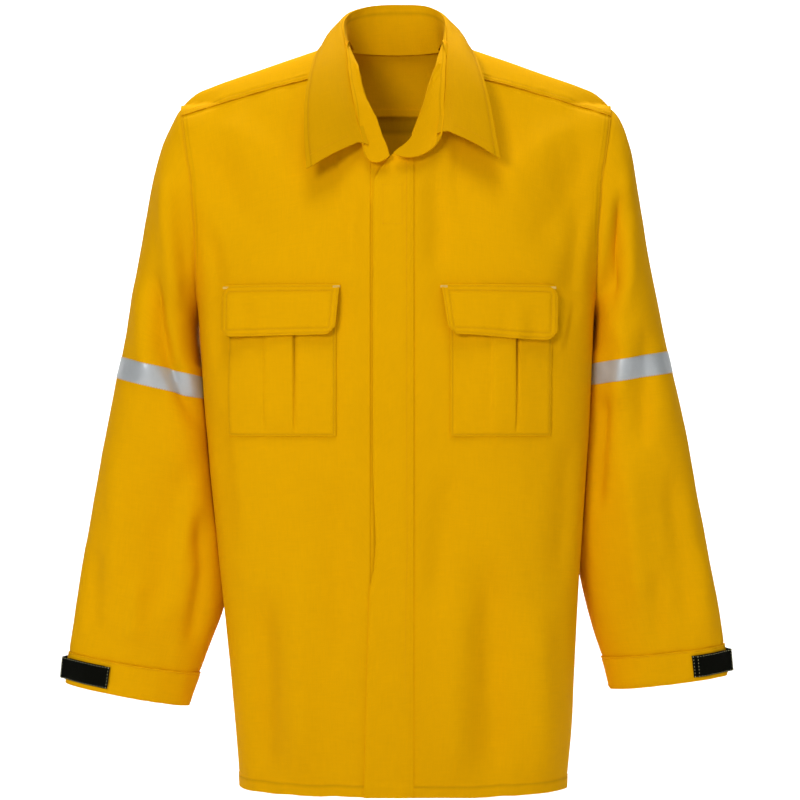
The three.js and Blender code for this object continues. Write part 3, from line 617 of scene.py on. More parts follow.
def sew(name, lines, thread=None, pitch=3.2, length=2.2, radius=0.3):
    """One mesh of stitches along lines of points in millimetres."""
    name = name.replace(" ", "_")
    curve = bpy.data.curves.new(name + " path", "CURVE")
    curve.dimensions = "3D"
    for line in lines:
        spline = curve.splines.new("POLY")
        spline.points.add(len(line) - 1)
        spline.points.foreach_set(
            "co", np.column_stack([np.asarray(line) * MM, np.ones(len(line))]).ravel()
        )
    guide = bpy.data.objects.new(name + " guide", curve)
    bpy.context.scene.collection.objects.link(guide)
    modifier = guide.modifiers.new("stitches", "NODES")
    modifier.node_group = STITCHES
    for label, size in {"Pitch": pitch, "Stitch length": length, "Thread radius": radius}.items():
        modifier[STITCH_INPUTS[label]] = size * MM
    modifier[STITCH_INPUTS["Thread"]] = thread or THREAD
    shown = guide.evaluated_get(bpy.context.evaluated_depsgraph_get())
    mesh = bpy.data.meshes.new_from_object(shown)
    bpy.data.objects.remove(guide)
    mesh.name = name
    made = bpy.data.objects.new(name, mesh)
    bpy.context.scene.collection.objects.link(made)
    return made


def grid_line(grid, normals, row=None, column=None, lift=0.1):
    """A line of points on a grid, a little above it."""
    picked = (slice(None), column) if row is None else (row, slice(None))
    return grid[picked] + normals[picked] * lift


def nearest_row(places, length, offset, from_end=False):
    return int(np.argmin(np.abs(places * length - (length - offset if from_end else offset))))


# ---- body panels --------------------------------------------------------------------------
def angle_at(x, z, sign):
    """Angle about the body's middle at which its surface is x from the centre on that side."""
    share = np.clip(x / HALF_WIDTH[sign](z), -1, 1)
    return np.arccos(np.sign(share) * np.abs(share) ** (SQUARENESS / 2))


def across_share(angle):
    """How far across its half width the body's outline is at that angle, from -1 to 1."""
    return np.sign(np.cos(angle)) * np.abs(np.cos(angle)) ** (2 / SQUARENESS)


def side_angle(z, sign, depth_share, facing):
    """Angle of a panel's outer edge: on the armhole above the armpit, at the side seam below it."""
    on_armhole = angle_at(ARMHOLE_X(z), z, sign)
    at_seam = -facing * math.asin(depth_share ** (SQUARENESS / 2))
    return lerp(at_seam, np.maximum(on_armhole, at_seam), smooth((z - ARMPIT_Z + 4) / 30))


def hem_z(x):
    """The hem hangs a little unevenly."""
    return HEM_Z + 1.8 * soft_noise(x / 55, 0.3, 32) + 0.8 * soft_noise(x / 17, 1.3, 35)


def make_front(sign, word):
    wide, tall = 330, 800
    across = spaced(wide, 4.2, start=(0, 1, 2.5, 4.5), end=EDGE)
    up = spaced(tall, 4.6, start=HEM_EDGE, end=EDGE)
    u, v = np.meshgrid(across, up)
    z = lerp(HEM_Z, -60.0, v)
    x = np.zeros_like(z)
    for _ in range(10):
        edge = PLACKET["seam"] if sign > 0 else -RIGHT_EDGE_X
        angle = lerp(angle_at(edge, z, sign), side_angle(z, sign, 0.12, 1), u)
        x = sign * HALF_WIDTH[sign](z) * across_share(angle)
        top = np.minimum(NECKLINE(np.abs(x)), YOKE_SEAM(np.abs(x)) + TUCK)
        z = lerp(hem_z(x), top, v)
    y = np.where(angle < 0, body_y(x, z, 1), body_y(x, z, -1))
    grid = np.stack([x, y, z], axis=-1)
    normals = grid_normals(grid, BODY_MIDDLE)
    row_length = distances_along(grid, 1)
    to_side = row_length[:, -1:] - row_length
    to_hem, to_top = z - hem_z(x), top - z
    armhole = smooth((z - ARMPIT_Z + 6) / 12)
    height = front_drape(x, z) * smooth(to_top / 40) * smooth((to_side + 14) / 50)
    height = height * lerp(0.3, 1, np.abs(normals[..., 1]))
    height = height + armhole * seam_profile(to_side, z, seed=31, rise=0.7)
    height = height + 0.9 * (1 - smooth((to_hem - 13) / 1.6)) - 0.7 * bell(to_hem, 12.2, 0.9)
    height = height + 0.7 * soft_noise(x / 8, 0.5, 33) * bell(to_hem, 9, 9)
    height = height + 0.5 * soft_noise(x / 9, 1.5, 34) * bell(to_top, 8, 8)
    height = height - 1.0 * (1 - smooth((to_top - TUCK - 1) / 3)) * smooth((np.abs(x) - 40) / 6)
    grid = grid + normals * height[..., None]
    # painted shade in the hem's stitch groove and along the armhole seam's two stitch rows
    painted_shade = (
        bell(to_hem, 12.2, 1.2) * 0.5
        + armhole * (bell(to_side, 6.6, 1.1) + bell(to_side, 1.6, 1.1)) * 0.22
    )
    panel = cloth_mesh(f"{word} front cloth", grid, CLOTH, BODY_MIDDLE, YELLOW, painted_shade=painted_shade)
    follow_front(panel)
    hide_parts(f"{word}_front", f"{word}_front_upper")
    shown = grid_normals(grid, BODY_MIDDLE)
    above = up > 0.62
    columns = [nearest_row(across, wide, d, True) for d in SEAM_ROWS]
    on_arm = [grid_line(grid, shown, column=c)[above] for c in columns]
    hem = [grid_line(grid, shown, row=nearest_row(up, tall, 12.4))]
    stitches = sew(f"{word} front stitches", on_arm + hem)
    follow_front(stitches)


def make_back():
    wide, tall = 520, 750
    across = spaced(wide, 4.6, start=EDGE, end=EDGE)
    up = spaced(tall, 5.0, start=HEM_EDGE, end=EDGE)
    u, v = np.meshgrid(across, up)
    z = lerp(HEM_Z, -98.0, v)
    for _ in range(8):
        right, left = math.pi - side_angle(z, -1, 0.09, -1), side_angle(z, 1, 0.09, -1)
        angle = lerp(right, left, u)
        share = across_share(angle)
        x = share * np.where(share > 0, HALF_WIDTH[1](z), HALF_WIDTH[-1](z))
        top = BACK_SEAM(np.abs(x)) + TUCK
        z = lerp(HEM_Z, top, v)
    grid = np.stack([x, body_y(x, z, 1), z], axis=-1)
    normals = grid_normals(grid, BODY_MIDDLE)
    lengths = distances_along(grid, 1)
    to_side = np.minimum(lengths, lengths[:, -1:] - lengths)
    to_hem, to_top = z - HEM_Z, top - z
    height = back_drape(x, z) * smooth(to_top / 50) * smooth((to_side + 14) / 50)
    height = height + smooth((z - ARMPIT_Z + 6) / 12) * seam_profile(to_side, z, seed=41)
    height = height - 1.7 * (1 - smooth((to_side - 4) / 4)) * smooth((ARMPIT_Z + 4 - z) / 20)
    height = height - 1.0 * (1 - smooth((to_top - TUCK - 1) / 3))
    height = height + 0.9 * (1 - smooth((to_hem - 13) / 1.6)) - 0.7 * bell(to_hem, 12.2, 0.9)
    height = height + 0.7 * soft_noise(x / 8, 0.5, 43) * bell(to_hem, 9, 9)
    grid = grid + normals * height[..., None]
    # painted shadow on the inside of the back: darkest in a band just below the yoke seam, lighter further
    # down
    painted_back_shadow = (
        0.9 * smooth((to_top - TUCK) / 3) * (1 - smooth((to_top - TUCK - 20) / 5))
        + 0.35 * smooth((to_top - 24) / 6)
    )
    panel = cloth_mesh(
        "back cloth", grid, CLOTH, BODY_MIDDLE, YELLOW, painted_shade=np.zeros_like(z), painted_shade_inside=painted_back_shadow
    )
    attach(panel, "coat")
    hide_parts("back_panel")
    shown = grid_normals(grid, BODY_MIDDLE)
    hem = grid_line(grid, shown, row=nearest_row(up, tall, 12.4))
    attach(sew("back hem stitches", [hem]), "coat")


def make_yoke():
    wide, deep = 500, 190
    across = spaced(wide, 4.0, start=EDGE, end=EDGE)
    over = spaced(deep, 4.0, start=EDGE, end=EDGE)
    u, v = np.meshgrid(across, over)
    x = lerp(-250.0, 250.0, u)
    for _ in range(3):
        ridge = ridge_z(x)
        back_rise = np.clip((BACK_SEAM(np.abs(x)) - LEAN_START_Z) / (ridge - LEAN_START_Z), 0, 1)
        front_rise = np.clip((YOKE_SEAM(np.abs(x)) + 0.6 - LEAN_START_Z) / (ridge - LEAN_START_Z), 0, 1)
        start = np.arcsin(back_rise**0.8)
        neck_end = math.pi / 2 - 0.02
        front = math.pi - np.arcsin(front_rise**0.725)
        end = lerp(neck_end, front, smooth((np.abs(x) - 50) / 12))
        angle = lerp(start, end, v)
        side = np.where(angle > math.pi / 2, -1, 1)
        rise = np.where(side < 0, np.sin(angle) ** (1 / 0.725), np.sin(angle) ** 1.25)
        z = lerp(LEAN_START_Z, ridge, rise)
        limit = np.minimum(ARMHOLE_X(z), 250)
        x = lerp(-limit, limit, u)
    grid = np.stack([x, body_y(x, np.minimum(z, ridge_z(x) - 0.01), side), z], axis=-1)
    normals = grid_normals(grid, YOKE_MIDDLE)
    lengths, rows = distances_along(grid, 1), distances_along(grid, 0)
    to_arm = np.minimum(lengths, lengths[:, -1:] - lengths)
    to_front, to_back = rows[-1:] - rows, rows
    has_seam = smooth((np.abs(x) - 56) / 10)
    height = 0.8 * soft_noise(x / 60, (grid[..., 1] - z) / 60, 51)
    seams = [
        has_seam * seam_profile(to_front, x, seed=52, rise=0.4, pucker=0.8),
        seam_profile(to_back, x, seed=53, rise=0.4),
        0.6 * seam_profile(to_arm, v * deep, seed=54),
    ]
    height = height + np.max(seams, axis=0)
    grid = grid + normals * height[..., None]
    # painted shade along the two stitch rows of the yoke's front seam
    painted_shade = has_seam * (bell(to_front, 1.6, 1.1) + bell(to_front, 6.6, 1.1)) * 0.25
    yoke = cloth_mesh("yoke cloth", grid, CLOTH, YOKE_MIDDLE, YELLOW, painted_shade=painted_shade)
    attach(yoke, "coat")
    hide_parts("back_yoke")
    shown = grid_normals(grid, YOKE_MIDDLE)
    lines = [grid_line(grid, shown, row=nearest_row(over, deep, d, True)) for d in SEAM_ROWS]
    lines = [part for line in lines for part in (line[line[:, 0] > 62], line[line[:, 0] < -62])]
    lines += [grid_line(grid, shown, row=nearest_row(over, deep, d)) for d in SEAM_ROWS]
    for d in SEAM_ROWS:
        for far in (False, True):
            lines.append(grid_line(grid, shown, column=nearest_row(across, wide, d, far)))
    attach(sew("yoke stitches", lines), "coat")


for side_sign, side_word in SIDES:
    make_front(side_sign, side_word)
make_back()
make_yoke()


# ---- front closure ------------------------------------------------------------------------
def front_strip(
    name, left, right, top, bottom, lift, thickness, material, relief=None, pitch=3.0, closed_top=None
):
    """A strip laid on the front between two edges; a closed top follows x, and its edge drifts."""
    height = (top if closed_top is None else -122) - bottom
    across = spaced(right - left, pitch, start=(0, 0.5, 1.4, 2.6), end=(0, 0.5, 1.4, 2.6))
    up = spaced(height, 4.0, start=(0, 0.6, 1.6, 3.2, 6, 9, 12, 13.4, 15), end=(0, 0.6, 1.6, 3))
    u, v = np.meshgrid(across, up)
    x = lerp(left, right, u)
    ceiling = top if closed_top is None else closed_top(x)
    z = lerp(bottom, ceiling, v)
    x = x + (placket_edge_drift(z) * (1 - u) if closed_top is not None else 0)
    base = np.stack([x, body_y(x, z, -1), z], axis=-1)
    normals = grid_normals(base, BODY_MIDDLE)
    out = lift + front_drape(x, z) + (0 if relief is None else relief(u * (right - left), x, z))
    grid = base + normals * np.asarray(out)[..., None]
    return cloth_mesh(name, grid, thickness, BODY_MIDDLE, material)


def placket_edge_drift(z):
    """The free edge wanders: a small kink below the chest, then away towards the hem."""
    return np.interp(
        z, [-846, -757, -686, -610, -590, -560, -480, -170], [-10, -8, -6, -3.5, 1.5, 3.5, 0.5, 0.0]
    )


def placket_top(x):
    return np.interp(x, [-26, -24.4, -16.6, -3.6, 6, 18], [-176, -152, -139, -123, -119, -103])


def placket_relief(across, x, z):
    edge = -1.3 * (1 - smooth(across / 2.2)) + 0.5 * soft_noise(z / 60, 0.5, 61)
    seam = -1.0 * bell(across, 36, 0.9) - 1.4 * smooth((across - 41) / 4)
    rucks = 0.35 * soft_noise(z / 8, across / 12, 62) * bell(across, 37, 6)
    hem = 0.6 * (1 - smooth((z - HEM_Z - 13) / 2))
    return edge + seam + rucks + hem


placket = front_strip(
    "placket cloth", PLACKET["free_edge"], PLACKET["seam"] + 2, -103, HEM_Z - 0.4,
    PLACKET["lift"], CLOTH + 0.6, YELLOW, placket_relief, closed_top=placket_top,
)
follow_front(placket)
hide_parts("front_placket")


def facing_relief(across, x, z):
    """The facing stands up in the gap at the placket's edge and above the first fastening."""
    beside = smooth((-15 - x) / 5) * smooth((z + 186) / 10) * smooth((x + 32) / 3)
    level = 4.5 * np.maximum(beside, smooth((z + 143) / 6) * smooth((x + 32) / 3))
    return np.maximum(level, 3.3 * smooth((x + 35) / 3) * smooth((-20 - x) / 3))


facing = front_strip("right facing cloth", -48, 14, -128, HEM_Z + 2, -4.6, CLOTH, YELLOW, facing_relief)
follow_front(facing)
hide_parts("right_front_facing")

for number in CLOSURE_NUMBERS:
    low, high = box_mm(f"closure_hook_{number}")
    for kind, word, lift in (("hook", "left", 0.9), ("loop", "right", -2.6)):
        name = f"closure {kind} patch {number}"
        patch = front_strip(name, low.x, high.x, high.z, low.z, lift, 1.4, YELLOW_PILE, pitch=4)
        follow_front(patch)
        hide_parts(f"closure_{kind}_{number}")


def placket_stitch(x_of_z, z_from, z_to):
    z = np.linspace(z_from, z_to, int(abs(z_to - z_from) / 4) + 2)
    x = x_of_z(z)
    base = np.stack([x, body_y(x, z, -1), z], axis=-1)
    out = PLACKET["lift"] + front_drape(x, z) + placket_relief(x - PLACKET["free_edge"], x, z) + 0.25
    base[:, 1] -= out
    return base


def across_placket(z, x_from, x_to):
    line = placket_stitch(lambda heights: np.linspace(x_from, x_to, len(heights)), z, z - 0.01)
    points = np.linspace(0, 1, 9)[:, None]
    return lerp(line[0], line[-1], points)


rows = [placket_stitch(lambda z: 12 + placket_edge_drift(z) * 0.2, -120, HEM_Z + 4)]
box_left, box_right, box_top, box_bottom = -14.5, 7, -158, -202
rows.append(placket_stitch(lambda z: 0 * z + box_left, box_top, box_bottom))
rows.append(placket_stitch(lambda z: 0 * z + box_right, box_top, box_bottom))
rows += [across_placket(z, box_left, box_right) for z in (box_top, box_bottom)]
stitching = sew("placket stitches", rows)
follow_front(stitching)


# ---- chest pockets ------------------------------------------------------------------------
# Edges as the distance from the coat's middle; the pleat lies between its two folds.
POCKETS = {
    1: {
        "inner": 61,
        "outer": 175,
        "pleat": (106, 134),
        "sharp": "outer",
        "flap": (50.7, 179),
        "seed": 70,
        "open": 4.5,
    },
    -1: {
        "inner": 67,
        "outer": 190,
        "pleat": (114.5, 148),
        "sharp": "inner",
        "flap": (62.6, 195),
        "seed": 80,
        "open": 2.5,
    },
}
POCKET_TOP, POCKET_BOTTOM = box_mm("left_pocket")[1].z, box_mm("left_pocket")[0].z
FLAP_TOP, FLAP_BOTTOM = box_mm("left_pocket_flap")[1].z - 1, box_mm("left_pocket_flap")[0].z


def off_front(x, z, out):
    base = np.stack([x, body_y(x, z, -1), z], axis=-1)
    normals = grid_normals(base, POCKET_MIDDLE)
    return base + normals * np.asarray(out)[..., None]


def make_pocket(sign, word):
    form = POCKETS[sign]
    inner, outer, (fold_in, fold_out) = form["inner"], form["outer"], form["pleat"]
    width, height = outer - inner, POCKET_TOP - POCKET_BOTTOM
    across = spaced(
        width, 3.4, start=(0, 0.5, 1.3, 2.4, 4), end=(0, 0.5, 1.3, 2.4, 4),
        fine_at=(fold_in - inner, fold_out - inner)
    )
    up = spaced(height, 3.6, start=(0, 0.5, 1.3, 2.4, 4, 6), end=(0, 1.5))
    u, v = np.meshgrid(across, up)
    distance, z = lerp(inner, outer, u), lerp(POCKET_BOTTOM, POCKET_TOP, v)
    x = sign * distance
    rim = np.minimum(np.minimum(distance - inner, outer - distance), (z - POCKET_BOTTOM))
    body = 1.7 + 1.2 * smooth(rim / 2) + 3.4 * smooth(rim / 38) * (0.45 + 0.55 * v)
    pleat_depth = 1.9 * smooth((z - POCKET_BOTTOM - 2) / 14)
    near_in = smooth((distance - fold_in + 1.0) / (2.0 if form["sharp"] == "inner" else 5.0))
    near_out = smooth((fold_out - distance + 1.0) / (2.0 if form["sharp"] == "outer" else 5.0))
    body = body + pleat_depth * near_in * near_out
    sharp_at = fold_in - 1.3 if form["sharp"] == "inner" else fold_out + 1.3
    gap = (0.8 + form["open"] * v**1.5) * pleat_depth / 1.9
    body = body - gap * bell(distance, sharp_at, 1.5)
    body = body + 0.5 * soft_noise(distance / 18, z / 60, form["seed"]) * smooth(rim / 12)
    body = body + 0.35 * soft_noise(z / 8, distance / 14, form["seed"] + 1) * bell(rim, 0, 6)
    body = body - 0.7 * bell(rim, 2.4, 0.8) + front_drape(x, z)
    grid = off_front(x, z, body)
    # painted shade along the stitch row and in the gap at the pleat's sharp fold
    painted_shade = 0.35 * bell(rim, 2.4, 1.0) + 0.9 * smooth(v * 1.4) * bell(distance, sharp_at, 1.1)
    pocket = cloth_mesh(f"{word} pocket cloth", grid, THIN_CLOTH, POCKET_MIDDLE, YELLOW, painted_shade=painted_shade)
    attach(pocket, f"{word}_front")
    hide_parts(f"{word}_pocket")
    shown = grid_normals(grid, POCKET_MIDDLE)
    low = nearest_row(up, height, 2.4)
    sides = [
        grid_line(grid, shown, column=nearest_row(across, width, 2.4, far), lift=0.25)[low:]
        for far in (False, True)
    ]
    bottom = grid_line(grid, shown, row=low, lift=0.25)[
        nearest_row(across, width, 2.4): nearest_row(across, width, 2.4, True)
    ]
    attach(sew(f"{word} pocket stitches", sides + [bottom]), f"{word}_front")


def make_flap(sign, word):
    form = POCKETS[sign]
    inner, outer = form["flap"]
    width, height = outer - inner, FLAP_TOP - FLAP_BOTTOM
    fine = (0, 0.5, 1.2, 2.2, 3.2, 4.6, 6.4, 7.4, 8.6, 10.5)
    across = spaced(width, 3.4, start=fine, end=fine)
    up = spaced(height, 3.2, start=fine, end=fine)
    u, v = np.meshgrid(across, up)
    drop = lerp(6.0 if sign > 0 else 1.5, 0, v) * smooth(u * 1.3)
    z = lerp(FLAP_BOTTOM, FLAP_TOP, v) - drop + (1.5 if sign > 0 else 0) * np.sin(u * math.pi) * (1 - v)
    taper = (1 - v) * (5.0 if sign < 0 else 8.0)
    x = sign * (lerp(inner, outer, u) + taper * (1 - u) - (2.0 if sign < 0 else 4.0) * (1 - v) * u)
    rim = np.minimum(np.minimum(u, 1 - u) * width, np.minimum(v, 1 - v) * height)
    below = (1 - v) * height
    out = 2.6 + 9.2 * smooth(below / 14) + 1.4 * smooth(below / 58)
    out = out + (3.5 if sign > 0 else 0.6) * (1 - v) * smooth(1 - u / 0.12)
    out = out + (1 - v) * smooth(1 - (1 - u) / 0.2)
    waves = 2.2 if sign > 0 else 1.3
    out = out + waves * soft_noise(u * width / 17, v * 0.8, form["seed"] + 3) * smooth(below / 16)
    out = out - 0.8 * (1 - smooth(rim / 1.0)) - 0.55 * bell(rim, 2.2, 0.8) - 0.65 * bell(rim, 7.4, 0.9)
    rucks = soft_noise((u * width + v * height) / 7, rim / 9, form["seed"] + 4)
    out = out + 0.4 * rucks * bell(rim, 0, 9)
    corner = np.exp(-((np.minimum(u, 1 - u) * width / 6) ** 2) - ((v * height / 6) ** 2))
    x, z = x + sign * 3.0 * corner * np.sign(0.5 - u), z + 4.0 * corner
    grid = off_front(x, z, out + front_drape(x, z))
    # painted shade along the flap's two rows of stitches
    painted_shade = 0.25 * (bell(rim, 7.4, 1.1) + 0.8 * bell(rim, 2.2, 1.0))
    flap = cloth_mesh(f"{word} flap cloth", grid, THIN_CLOTH + 0.3, FLAP_MIDDLE, YELLOW, painted_shade=painted_shade)
    shown = grid_normals(grid, FLAP_MIDDLE)
    rows_at = [(nearest_row(up, height, d), nearest_row(up, height, d, True)) for d in (2.2, 7.4)]
    columns_at = [
        (nearest_row(across, width, d), nearest_row(across, width, d, True)) for d in (2.2, 7.4)
    ]
    lines = []
    for (low, high), (left, right) in zip(rows_at, columns_at):
        lines += [grid_line(grid, shown, row=r, lift=0.2)[left:right + 1] for r in (low, high)]
        lines += [grid_line(grid, shown, column=c, lift=0.2)[low:high + 1] for c in (left, right)]
    stitches = sew(f"{word} flap stitches", lines)
    tacks = []
    for column in (nearest_row(across, width, 3.2), nearest_row(across, width, 3.2, True)):
        corner = grid_line(grid, shown, row=nearest_row(up, height, 3.2, True), lift=0.4)[column]
        tacks += [
            [corner + (step, 0, 0.9 * k), corner + (step + 0.4, 0, 0.9 * k)] for k in (-1, 0, 1)
            for step in np.arange(-4, 4, 1.0)
        ]
    tacking = sew(f"{word} flap bartacks", tacks, thread=PALE_THREAD, pitch=1.0, length=1.4, radius=0.38)
    middle = float(points_mm(flap)[:, 1].mean())
    for piece in (flap, stitches):
        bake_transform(piece)
    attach(tacking, f"{word}_front")
    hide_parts(f"{word}_pocket_flap")


def make_pile_patch(node_name, out, body):
    """One half of a pocket's hook-and-loop fastening, between the pocket and its flap."""
    low, high = box_mm(node_name)
    across, up = (spaced(size, 5, start=(0, 0.8), end=(0, 0.8)) for size in (high.x - low.x, 20))
    u, v = np.meshgrid(across, up)
    x, z = lerp(low.x, high.x, u), lerp(FLAP_BOTTOM + 9, FLAP_BOTTOM + 29, v)
    grid = off_front(x, z, out + front_drape(x, z))
    patch = cloth_mesh(node_name + "_pile", grid, 1.2, FLAP_MIDDLE, YELLOW_PILE)
    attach(patch, body)
    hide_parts(node_name)


for side_sign, side_word in SIDES:
    make_pocket(side_sign, side_word)
    make_flap(side_sign, side_word)
    make_pile_patch(f"{side_word}_flap_hook", 11.4, f"{side_word}_flap")
    make_pile_patch(f"{side_word}_pocket_loop", 9.9, f"{side_word}_front")


# ---- collar -------------------------------------------------------------------------------
# Each line runs from the wearer's right front, round the back of the neck, to the left front.
NECK_SEAM = [
    (-6.5, -117, -126), (-22, -100, -81), (-34, -86, -57), (-47, -60, -14.5), (-57, -18, 11), (-54, 26, 16),
    (-30, 50, 17), (0, 57, 17), (30, 50, 17), (53, 28, 16), (56, -30, 8), (47, -57, -13.5),
    (34, -84, -54), (24.6, -98, -84), (16, -108, -105.5), (-3.6, -118, -123),
]
FOLD = [
    (-39, -110, -109), (-48.5, -95, -72), (-54.6, -74, -35), (-59, -45, 5), (-63, -8, 41), (-52, 30, 62),
    (-29, 52, 72), (5, 58, 74.6), (34.5, 52, 72), (52, 32, 61), (60, -5, 38), (59, -42, 6),
    (58, -72, -35), (57, -92, -72), (55, -106, -96),
]
LEAF_EDGE = [
    (-100, -122, -141), (-103, -112, -100), (-103, -92, -60), (-98, -62, -22), (-90, -20, 8), (-78, 30, 22),
    (-45, 72, 20), (0, 86, 14), (45, 72, 20), (78, 30, 22), (88, -20, 8), (96, -62, -18),
    (105, -92, -56), (111, -110, -92), (117, -121, -130),
]


def through(points, count):
    """A smooth line through points, as that many places spaced evenly along it."""
    points = np.array(points, float)
    at = np.concatenate([[0], np.cumsum(np.linalg.norm(np.diff(points, axis=0), axis=1))])
    return curve_through(points, at, np.linspace(0, at[-1], count))


COLLAR_STEPS = 150
seam_line, fold_line, leaf_line = (through(p, COLLAR_STEPS) for p in (NECK_SEAM, FOLD, LEAF_EDGE))
NECK_AXIS = (0, -20, -20)


def unit(vectors):
    return vectors / np.maximum(np.linalg.norm(vectors, axis=-1, keepdims=True), 1e-9)


def make_collar():
    up = unit(fold_line - seam_line)
    share = np.linspace(0, 1, COLLAR_STEPS)
    chords = [unit(fold_line[k] - seam_line[k]) for k in (0, -1)]
    downwards = [np.array([chord[2] * turn, 0, -abs(chord[0])]) for chord, turn in zip(chords, (-1, 1))]
    end_push = (
        smooth((0.11 - share) / 0.11)[:, None] * downwards[0]
        + smooth((share - 0.89) / 0.11)[:, None] * downwards[1]
    )
    heights = spaced(44, 2.6, start=(0, 0.6, 1.5, 3), end=(0, 0.6, 1.5, 3))
    tucked_in = 6.0 * smooth((0.37 - np.abs(share - 0.5)) / 0.08)[:, None]
    stand = []
    for t in heights:
        rounding = 16 * (4 * t * (1 - t)) ** 0.7
        wavy_edge = 1.6 * (1 - t) * soft_noise(share * 46, 0.5, 90)
        wavy_edge = wavy_edge * smooth(np.abs(share - 0.5) / 0.2 - 0.6)
        line = (
            lerp(seam_line - up * tucked_in, fold_line - up * 3, t) + end_push * rounding
            + up * wavy_edge[:, None]
        )
        inward = unit(np.array(NECK_AXIS) * [1, 1, 0] - line * [1, 1, 0])
        ripples = 0.5 * soft_noise(share * 40, t * 1.5, 91)[:, None]
        line = line + inward * (1.2 * math.sin(math.pi * t) + ripples)
        puckers = 0.5 * soft_noise(share * 62, t * 6, 92) * bell(t, 0.86, 0.1)
        stand.append(line + inward * puckers[:, None])
    stand_grid = np.array(stand)
    # painted shade: a thin dark line along the stand just below its top edge
    painted_shade = bell(heights, 0.82, 0.03)[:, None] * 0.4 * np.ones((1, COLLAR_STEPS))
    piece = cloth_mesh("collar stand cloth", stand_grid, 1.6, NECK_AXIS, SHADED_STAND_YELLOW, painted_shade=painted_shade)
    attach(piece, "coat")
    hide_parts("collar_stand")

    fall = unit(leaf_line - fold_line)
    length = np.linalg.norm(leaf_line - fold_line, axis=1)
    outward = unit(np.cross(np.gradient(fold_line, axis=0), fall))
    outward *= np.sign(np.sum(outward * (fold_line - np.array(NECK_AXIS)), axis=1, keepdims=True))
    leaf = []
    inside = unit(np.array(NECK_AXIS) * [1, 1, 0] - fold_line * [1, 1, 0])
    for t in np.linspace(0, 1, 7)[:-1]:
        start = fold_line - up * 9 + inside * 1.4
        crest = fold_line + up * 3.0 + inside * 0.4
        finish = fold_line + fall * 8 + outward * 2.2
        leaf.append(start * (1 - t) ** 2 + 2 * crest * t * (1 - t) + finish * t**2)
    drops = spaced(60, 3.0, end=(0, 0.5, 1.3, 2.4, 4, 5.4, 6.4, 7.6))
    for t in drops:
        far = 8 + (length - 8)[:, None] * t
        bulge = 3.2 * math.sin(math.pi * min(1, t * 1.05)) + 2.2 * (1 - t)
        waves = 0.9 * soft_noise(share * 14, t * 1.2, 93)[:, None] * t
        dent = -0.5 * math.exp(-(((1 - t) * 60 - 6) / 0.9) ** 2)
        leaf.append(fold_line + fall * far + outward * (bulge + waves + dent))
    leaf_grid = np.array(leaf)
    count = len(leaf)
    to_edge = np.full(count, 60.0)
    to_edge[6:] = (1 - drops) * 60
    # painted shade along the leaf's stitch row, 6 mm in from its edge
    painted_shade = (0.45 * bell(to_edge, 6, 1.1))[:, None] * np.ones((1, COLLAR_STEPS))
    piece = cloth_mesh("collar leaf cloth", leaf_grid, 1.5, NECK_AXIS, SHADED_COLLAR_YELLOW, painted_shade=painted_shade)
    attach(piece, "coat")
    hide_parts("collar_leaf")
    shown = grid_normals(leaf_grid, NECK_AXIS)
    edge_row = 6 + nearest_row(drops, 60, 6, True)
    edge = grid_line(leaf_grid, shown, row=edge_row, lift=0.2)[3:-3]
    ends = [grid_line(leaf_grid, shown, column=c, lift=0.2)[8:edge_row] for c in (3, COLLAR_STEPS - 4)]
    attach(sew("collar stitches", [edge] + ends), "coat")


make_collar()


# ---- sleeves ------------------------------------------------------------------------------
# Places down a sleeve: outer edge (x, z), inner edge (x, z), half depth, middle y.
SLEEVES = {
    -1: [
        (250, -57, 229, -298, 62, 0), (260, -75, 230, -306, 68, 4), (272, -100, 231, -314, 72, 7),
        (284, -142, 231, -326, 74, 10), (292, -185, 230, -338, 75, 12), (307, -265, 226, -362, 75, 14),
        (322, -349, 219, -374, 73, 15), (328, -374, 216, -400, 72, 15), (341, -440, 209, -468, 67, 14),
        (356, -525, 199, -556, 60, 12), (370, -605, 200, -636, 51, 10), (379, -664, 219, -690, 42, 8),
        (384, -696, 230, -721, 37, 8), (387, -731, 243, -758, 33, 8),
    ],
    1: [
        (250, -57, 229, -298, 62, 0), (263, -75, 230, -304, 68, 4), (273, -100, 231, -308, 72, 7),
        (281, -142, 231, -316, 74, 10), (288, -185, 230, -326, 75, 12), (302, -265, 226, -344, 75, 14),
        (318, -343, 219, -359, 73, 15), (324, -368, 217, -384, 72, 15), (340, -440, 212, -456, 67, 14),
        (356, -525, 207, -540, 60, 12), (371, -605, 218, -617, 51, 10), (380, -656, 232, -672, 42, 8),
        (385, -687, 242, -702, 37, 8), (388, -722, 251, -738, 33, 8),
    ],
}
TAPE_STATIONS = (6, 7)
CUFF_STATION = 12
SLEEVE_SIDES = 112
TAB_FOLD = -11  # where a cuff tab folds, in degrees about the sleeve
